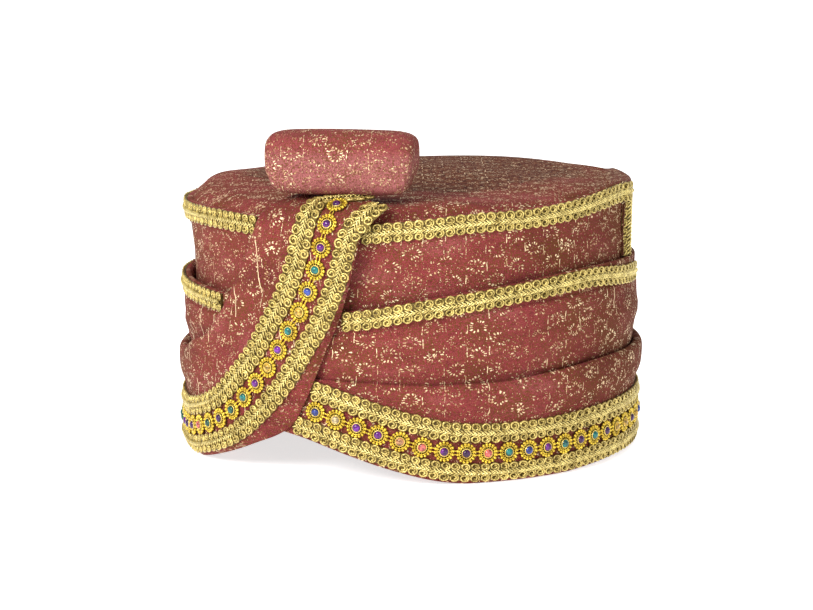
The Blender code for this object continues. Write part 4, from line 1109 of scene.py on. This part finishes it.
def jewelChain(name, start, pitch, count, colours, node, linkOn):
    # rosettes at start + k pitch along the chain, each point = centre + x along + y across + z out
    shape, faces, marks = rosetteShape()
    length = start + np.arange(count) * pitch
    centre, along, across, out = frameAt(chainPlace(length))
    placed = (centre[:, None] + shape[None, :, :1] * along[:, None] + shape[None, :, 1:2] * across[:, None]
              + shape[None, :, 2:] * out[:, None])
    allFaces, allMarks = [], []
    for index in range(count):
        allFaces.extend([[corner + index * len(shape) for corner in face] for face in faces])
        colour = 3 + stoneOrder.index(colours[index])
        allMarks.append(np.select([marks == 0, marks == 1, marks == 3], [0, 1, 2], colour))
    # two thin wires from each rosette to the next
    rim = sizes["rosette"] / 2 - jewels["rimIn"]
    paths, outs = [], []
    for index in range(count if linkOn else count - 1):
        ways = np.linspace(length[index] + rim, length[index] + pitch - rim, 4)
        here, _, over, up = frameAt(chainPlace(ways))
        for side in (1, -1):
            paths.append(here + over * side * jewels["wireApart"] + up * jewels["level"])
            outs.append(up)
    grid = tubeGrid(np.array(paths), np.array(outs), jewels["wire"], 5)
    wireFaces = tubeFaces(grid, count * len(shape))
    allMarks.append(np.zeros(len(wireFaces), int))
    piece = makeMesh(name, np.concatenate((placed.reshape(-1, 3), grid.reshape(-1, 3))), allFaces + wireFaces,
                     [filigree, paleGold, gimpShadeGround] + stoneMaterials, faceMaterial=np.concatenate(allMarks))
    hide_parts(node)
    return piece


hemColours = ("blue pearl bright purple goldPink salmon purple dark salmon teal blue purple teal dark teal "
              "dark gold gold dark").split()
sashColours = ("dark purple purple teal lightBlue gold teal bright gold purple teal green dark green salmon "
               "dark dark dark").split()
random = np.random.default_rng(3)
sashFirst = float(np.interp(distanceOf(gimpEnds["sashTurn"]), chainTicks, chainLengths))
sashFirst += gimpEnds["sashShift"]
hemCount = int(round(sashFirst / sizes["pitch"]))
hemPitch = sashFirst / hemCount
sashPitch = sizes["pitch"] * gimpEnds["sashStretch"]
sashLength = float(np.interp(borderEnd, chainTicks, chainLengths)) - sashFirst
sashCount = int(sashLength / sashPitch) + 1
drawn = random.integers(0, len(stoneOrder), hemCount - len(hemColours))
hemList = hemColours + [stoneOrder[pick] for pick in drawn]
jewelChain("jewelChainHem", 0.0, hemPitch, hemCount, hemList, "jewel_chain_hem", True)
jewelChain("jewelChainSash", sashFirst, sashPitch, sashCount, sashColours[:sashCount][::-1],
           "jewel_chain_sash", False)
print("jewelled chains made", hemCount, sashCount)


# cap, flap and its gimp
cap = {"segments": 288, "outer": 70, "inner": 40, "tucked": 0.008, "shoulder": 0.0021,
       # shares of the wall's radius and of the height, outside and inside
       "outerRows": ((1.000, 0.000), (1.000, 0.400), (1.000, 0.800), (1.000, 0.920), (0.992, 0.950),
                     (0.968, 0.969), (0.915, 0.979), (0.760, 0.988), (0.400, 0.997), (0.100, 1.000),
                     (0.004, 1.000)),
       "innerRows": ((0.004, 1.000), (0.450, 0.990), (0.800, 0.960), (0.950, 0.907), (0.990, 0.780),
                     (1.000, 0.400), (1.000, 0.000))}


def capCloth():
    # wall and dome turned round the axis: outer rows up and in over the dome, inner rows down the head hollow
    turns = np.arange(cap["segments"]) * 360 / cap["segments"] - 180
    hollow = sizes["bodyHeight"] - sizes["capSkin"]
    outer = np.array(cap["outerRows"]) * (sizes["capSide"], sizes["bodyHeight"])
    inner = np.array(cap["innerRows"]) * (sizes["headRadius"], hollow)
    made = np.concatenate((through(outer[None], cap["outer"]), through(inner[None], cap["inner"])), 1)[0]
    radius = np.broadcast_to(made[:, 0], (len(turns), len(made)))
    height = made[None, :, 1] + tilt(turns[:, None], radius, made[None, :, 1])
    outerSide = np.arange(len(made)) < cap["outer"]
    # it ends higher under the climbing fold, so that nothing of it shows below
    tucked = cap["tucked"] * step(turns, -68.0, -56.0) * (1 - step(turns, -34.0, -26.0))
    height = np.maximum(height, (arch(turns) * sizes["rimClearance"] + tucked)[:, None])
    # its side swells out to the upper lip, so that no slot shows behind the lip
    lip, flare = upperEdge(turns)
    over = height - lip[:, None]
    swollen = step(over, -0.014, -0.004) * (1 - step(over, -0.0012, 0.0042)) * outerSide
    radius = radius + swollen * (flare[:, None] + 0.0001)
    # its left shoulder is fuller
    full = cap["shoulder"] * bump(turns, -86.0, 32.0)[:, None] * step(radius, 0.055, 0.090)
    height = height + full * step(made[None, :, 1], 0.122, 0.130) * outerSide
    # low dents and swells of the padded top
    x, y = radius * np.sin(np.radians(turns))[:, None], -radius * np.cos(np.radians(turns))[:, None]
    swell = 0.0006 * np.sin(x / 0.021 + 0.7) * np.sin(y / 0.027) + 0.0005 * np.sin((x + y) / 0.017)
    topShare = step(made[None, :, 1], 0.127, 0.134) * step(radius, 0.002, 0.02) * outerSide
    points = place(turns[:, None], radius, height + swell * topShare)
    # weave: laid flat over the top, and further out the way down the wall is added to the radius
    lengths = np.concatenate(([0.0], np.cumsum(np.linalg.norm(np.diff(made, axis=0), axis=1))))
    wide = np.abs(lengths - lengths[cap["outer"] - 1])
    wide = np.where(outerSide, wide, made[:, 0])
    angle = np.radians(np.concatenate((turns, [180.0])))[:, None]
    plan = np.stack((wide * np.sin(angle), -wide * np.cos(angle)), -1)
    uv = np.concatenate((plan, plan[:, :1]), 1)
    return skin("capCloth", points, uv, [clothCrown], closeRows=True)


capPiece = capCloth()
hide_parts("crown_wall", "crown_top")


def flapCloth():
    # cloth laid over the crown's shoulder and down to the middle lip; each section point is (radius, height)
    turns = np.linspace(flap["start"], flap["end"], 60)
    lip, flare = upperEdge(turns)
    gap, cloth = sizes["gap"], flap["cloth"]
    low = middleEdge(turns)[0] + 2 * gap
    # the flap's two edges taper where they lie down on the dome
    tongue = step(turns, flap["start"], flap["start"] + flap["taper"])
    tongue = tongue * (1 - step(turns, flap["end"] - flap["taper"], flap["end"]))
    laid = cloth * (0.45 + 0.55 * tongue)
    face = sizes["upperWaist"] + flare + gap
    shoulder = sizes["capSide"] * 0.97
    level = sizes["bodyHeight"] * 0.972 + tilt(turns, shoulder, sizes["bodyHeight"])
    top = np.maximum(lip, level) + 2 * gap
    inward = sizes["capSide"] * 0.985 - (flap["reach"] - sizes["capSide"] * 0.015) * tongue
    inLevel = sizes["bodyHeight"] * (0.966 + 0.013 * tongue) + tilt(turns, inward, sizes["bodyHeight"])

    under = inLevel - 0.0016
    outer = np.stack([
        pair(face + cloth * 0.7, low), pair(face + cloth, low * 0.5 + lip * 0.5),
        pair(face + cloth, lip - 0.006), pair(face + cloth * 0.9, lip - 0.001),
        pair(face - cloth * 0.2, top + cloth * 0.1),
        pair((shoulder + face) / 2, top * 0.6 + level * 0.4 + laid * 0.6),
        pair(shoulder * 0.7 + inward * 0.3, level + laid),
        pair(inward - 0.001, inLevel + laid * 0.1), pair(inward - 0.002, under)], 1)
    inner = np.stack([
        pair(inward + 0.001, under - 0.0005), pair(shoulder, level - 0.0010),
        pair(face - cloth * 1.2, top - cloth), pair(face, lip - cloth * 2), pair(face, low)], 1)
    made = np.concatenate((through(outer, flap["outer"]), through(inner, flap["inner"])), 1)
    # slight ripples down its outer face
    wave = 0.0004 * np.sin(turns[:, None] / 3.1) + 0.0003 * np.sin(turns[:, None] / 1.7 + made[..., 1] * 120)
    wave = wave * (np.arange(made.shape[1]) < flap["outer"] - 2)
    made[..., 0] += wave * step(made[..., 1], 0.104, 0.110) * (1 - step(made[..., 1], 0.128, 0.132))
    points = place(turns[:, None], made[..., 0], made[..., 1])
    # weave: the turn times the radius, and the height plus the way in over the dome
    across = made[..., 1] + sizes["upperWaist"] - made[..., 0]
    across = np.concatenate((across, across[:, :1]), 1)
    along = np.radians(turns) * sizes["upperWaist"]
    uv = np.stack(np.broadcast_arrays(along[:, None], across), -1)
    return skin("sideFlapCloth", points, uv, [clothFlap])


flapPiece = flapCloth()
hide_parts("side_flap")

flapTurn = flap["start"] + math.degrees(sizes["gimpWidth"] / 2 / sizes["upperWaist"])
flapLow, flapHigh = float(middleEdge(flapTurn)[0]) + 0.0002, float(upperEdge(flapTurn)[0]) - 0.0040
flapFace = sizes["upperWaist"] + float(upperEdge(flapTurn)[1]) + sizes["gap"] * 2 + flap["cloth"]
flapLean = math.radians(flap["lean"])


def uprightChart(along, across, cover):
    # across > 0 goes to the front and inwards, round the edge of the flap, leaning in by flapLean
    front = np.maximum(across, 0.0)
    blend = step(across, -0.0012, 0.0012) * flapLean
    around = across - front * (1 - math.cos(flapLean)) + cover * np.sin(blend)
    turn = flapTurn - np.degrees(around / sizes["upperWaist"])
    return place(turn, flapFace - front * math.sin(flapLean) + cover * np.cos(blend), along)


flatGimp("sideGimp", uprightChart, flapLow, flapHigh, "gimp_side")
print("cap and flap made")


# padded roll
roll = {"length": 0.0740, "height": 0.0312, "depth": 0.0300, "raised": 0.0007, "slope": 0.010, "yaw": 11.0,
        "along": 44, "around": 40, "square": 0.32, "swell": 0.20, "round": 0.58, "start": 0.985,
        "narrow": 0.085, "voxel": 0.0028, "pressure": 4.0, "stiffness": 0.4, "quality": 6, "frames": 20,
        "cap": 0.0016}


def stuff(piece, settings):
    # padded cloth: remesh, blow up with Blender's cloth for some frames, cap each point's way from its start,
    # smooth and subdivide
    remesh = piece.modifiers.new("remesh", "REMESH")
    remesh.mode = "VOXEL"
    remesh.voxel_size = settings["voxel"]
    rough = evaluated(piece)
    piece.modifiers.remove(remesh)
    piece.data = rough
    start = coordinates(rough)
    cloth = piece.modifiers.new("cloth", "CLOTH")
    cloth.settings.use_pressure = True
    cloth.settings.uniform_pressure_force = settings["pressure"]
    cloth.settings.effector_weights.gravity = 0
    cloth.settings.quality = settings["quality"]
    cloth.settings.bending_stiffness = settings["stiffness"]
    scene = bpy.context.scene
    for count in range(1, settings["frames"] + 1):
        scene.frame_set(count)
    blown = coordinates(evaluated(piece))
    piece.modifiers.remove(cloth)
    scene.frame_set(1)
    way = blown - start
    reach = np.linalg.norm(way, axis=1, keepdims=True)
    way *= np.minimum(1.0, settings["cap"] / np.maximum(reach, 1e-9))
    rough.vertices.foreach_set("co", (start + way).astype(np.float32).ravel())
    smoothing = piece.modifiers.new("smoothing", "SMOOTH")
    smoothing.iterations = 2
    piece.modifiers.new("subdivision", "SUBSURF").levels = 1
    finished = evaluated(piece)
    piece.modifiers.clear()
    piece.data = finished


def evaluated(piece):
    # a copy of the piece's mesh with its modifiers on
    graph = bpy.context.evaluated_depsgraph_get()
    graph.update()
    return bpy.data.meshes.new_from_object(piece.evaluated_get(graph))


def coordinates(mesh):
    # the mesh's points as one array
    found = np.empty(len(mesh.vertices) * 3, np.float32)
    mesh.vertices.foreach_get("co", found)
    return found.reshape(-1, 3).astype(float)


def rollCloth():
    # a squared sausage: x = sign(cos a)|cos a|^square, section = sin(a)^swell (sign(cos b)|cos b|^round,
    # sign(sin b)|sin b|^round), narrower towards its underside, sloping up to the right
    lowCorner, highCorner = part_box("top_roll")
    centre = np.array((Vector(lowCorner) + Vector(highCorner)) / 2)
    angle = np.pi * np.linspace(0.02, 0.98, roll["along"])
    along = -np.sign(np.cos(angle)) * np.abs(np.cos(angle)) ** roll["square"]
    swell = np.sin(angle) ** roll["swell"]
    around = np.arange(roll["around"]) * 2 * np.pi / roll["around"]
    side = np.sign(np.cos(around)) * np.abs(np.cos(around)) ** roll["round"]
    rise = np.sign(np.sin(around)) * np.abs(np.sin(around)) ** roll["round"]
    x = along[:, None] * (1 - roll["narrow"] * np.maximum(-rise, 0) ** 1.4)[None] * roll["length"] / 2
    y = side[None] * swell[:, None] * roll["depth"] / 2
    z = rise[None] * swell[:, None] * roll["height"] / 2 + x * roll["slope"] + roll["raised"]
    yaw = math.radians(roll["yaw"])
    turn = np.array(((math.cos(yaw), -math.sin(yaw), 0), (math.sin(yaw), math.cos(yaw), 0), (0, 0, 1)))
    points = np.stack((x, y, z), -1) * roll["start"] @ turn + centre
    faces = gridFaces(roll["along"], roll["around"], False, True).tolist()
    faces += endFaces(0, roll["along"], roll["around"])
    piece = makeMesh("paddedRoll", points, faces, [clothRoll])
    stuff(piece, roll)
    # weave after the stuffing: the way along the roll, and the angle round it times its mean radius
    mesh = piece.data
    local = (coordinates(mesh) - centre) @ turn.T
    girth = np.arctan2(local[:, 2], local[:, 1])
    corners = np.empty(len(mesh.loops), np.int32)
    mesh.loops.foreach_get("vertex_index", corners)
    starts = np.empty(len(mesh.polygons), np.int32)
    mesh.polygons.foreach_get("loop_start", starts)
    owner = np.searchsorted(starts, np.arange(len(corners)), side="right") - 1
    turned = girth[corners]
    highest = np.maximum.reduceat(turned, starts)[owner]
    turned = np.where(highest - turned > np.pi, turned + 2 * np.pi, turned)
    uv = np.stack((local[corners, 0], turned * (roll["height"] + roll["depth"]) / 4), -1)
    # the ends, whose faces point mostly along the roll, are laid flat instead
    facing = np.array([polygon.normal[:] for polygon in mesh.polygons]) @ turn.T
    ends = (np.abs(facing[:, 0]) > 0.72)[owner]
    uv[ends] = local[corners[ends], 1:]
    layer = mesh.uv_layers.get("weave") or mesh.uv_layers.new(name="weave")
    layer.uv.foreach_set("vector", uv.astype(np.float32).ravel())
    if not mesh.materials:
        mesh.materials.append(clothRoll)
    mesh.polygons.foreach_set("use_smooth", np.ones(len(mesh.polygons), bool))
    return piece


rollPiece = rollCloth()
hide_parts("top_roll")
print("roll made")

# floor, light and camera
studio = {"floor": (0.93, 0.93, 0.93), "floorGlow": 0.70, "world": (1.0, 1.0, 1.0), "worldStrength": 0.62,
          "lights": (  # name, place, size, watts
              ("keyLight", (-0.70, -1.10, 0.85), 0.55, 21.0), ("fillLight", (0.75, -1.25, 0.45), 0.90, 3.0),
              ("topLight", (0.1, 0.2, 1.3), 0.90, 4.0)),
          "aim": (0.0, 0.0, 0.07)}
bpy.context.scene.view_settings.view_transform = "Standard"
floorMesh = bpy.data.meshes.new("floor")
low, (left, near, right, far) = -0.0002, (-6.0, -3.0, 6.0, 9.0)
floorCorners = [(left, near, low), (right, near, low), (right, far, low), (left, far, low)]
floorMesh.from_pydata(floorCorners, [], [(0, 1, 2, 3)])
floor = bpy.data.objects.new("floor", floorMesh)
bpy.context.scene.collection.objects.link(floor)
floorPaint = newMaterial("floorPaint", Base_Color=(*studio["floor"], 1.0), Roughness=0.9,
                         Emission_Color=(1.0, 1.0, 1.0, 1.0), Emission_Strength=studio["floorGlow"])[0]
floorMesh.materials.append(floorPaint)

world = bpy.data.worlds.new("studio")
world.use_nodes = True
world.node_tree.nodes["Background"].inputs[0].default_value = (*studio["world"], 1.0)
world.node_tree.nodes["Background"].inputs[1].default_value = studio["worldStrength"]
bpy.context.scene.world = world

for name, spot, size, power in studio["lights"]:
    data = bpy.data.lights.new(name, "AREA")
    data.size = size
    data.energy = power
    lamp = bpy.data.objects.new(name, data)
    lamp.location = spot
    lamp.rotation_mode = "QUATERNION"
    lamp.rotation_quaternion = (Vector(studio["aim"]) - Vector(spot)).to_track_quat("-Z", "Y")
    bpy.context.scene.collection.objects.link(lamp)

camera = {"target": (-0.0023, 0.0, 0.0674), "elevation": 10.0, "distance": 1.4, "lens": 119.77,
          "sensor": 36.0, "roll": 0.33}
cameraData = bpy.data.cameras.new("camera")
cameraData.lens = camera["lens"]
cameraData.sensor_width = camera["sensor"]
cameraObject = bpy.data.objects.new("camera", cameraData)
bpy.context.scene.collection.objects.link(cameraObject)
elevation = math.radians(camera["elevation"])
target = Vector(camera["target"])
back = Vector((0.0, -math.cos(elevation), math.sin(elevation)))
cameraObject.location = target + back * camera["distance"]
cameraObject.rotation_mode = "QUATERNION"
level = (-back).to_track_quat("-Z", "Y")
cameraObject.rotation_quaternion = level @ Quaternion((0, 0, 1), math.radians(camera["roll"]))
bpy.context.scene.camera = cameraObject

print("scene ready")
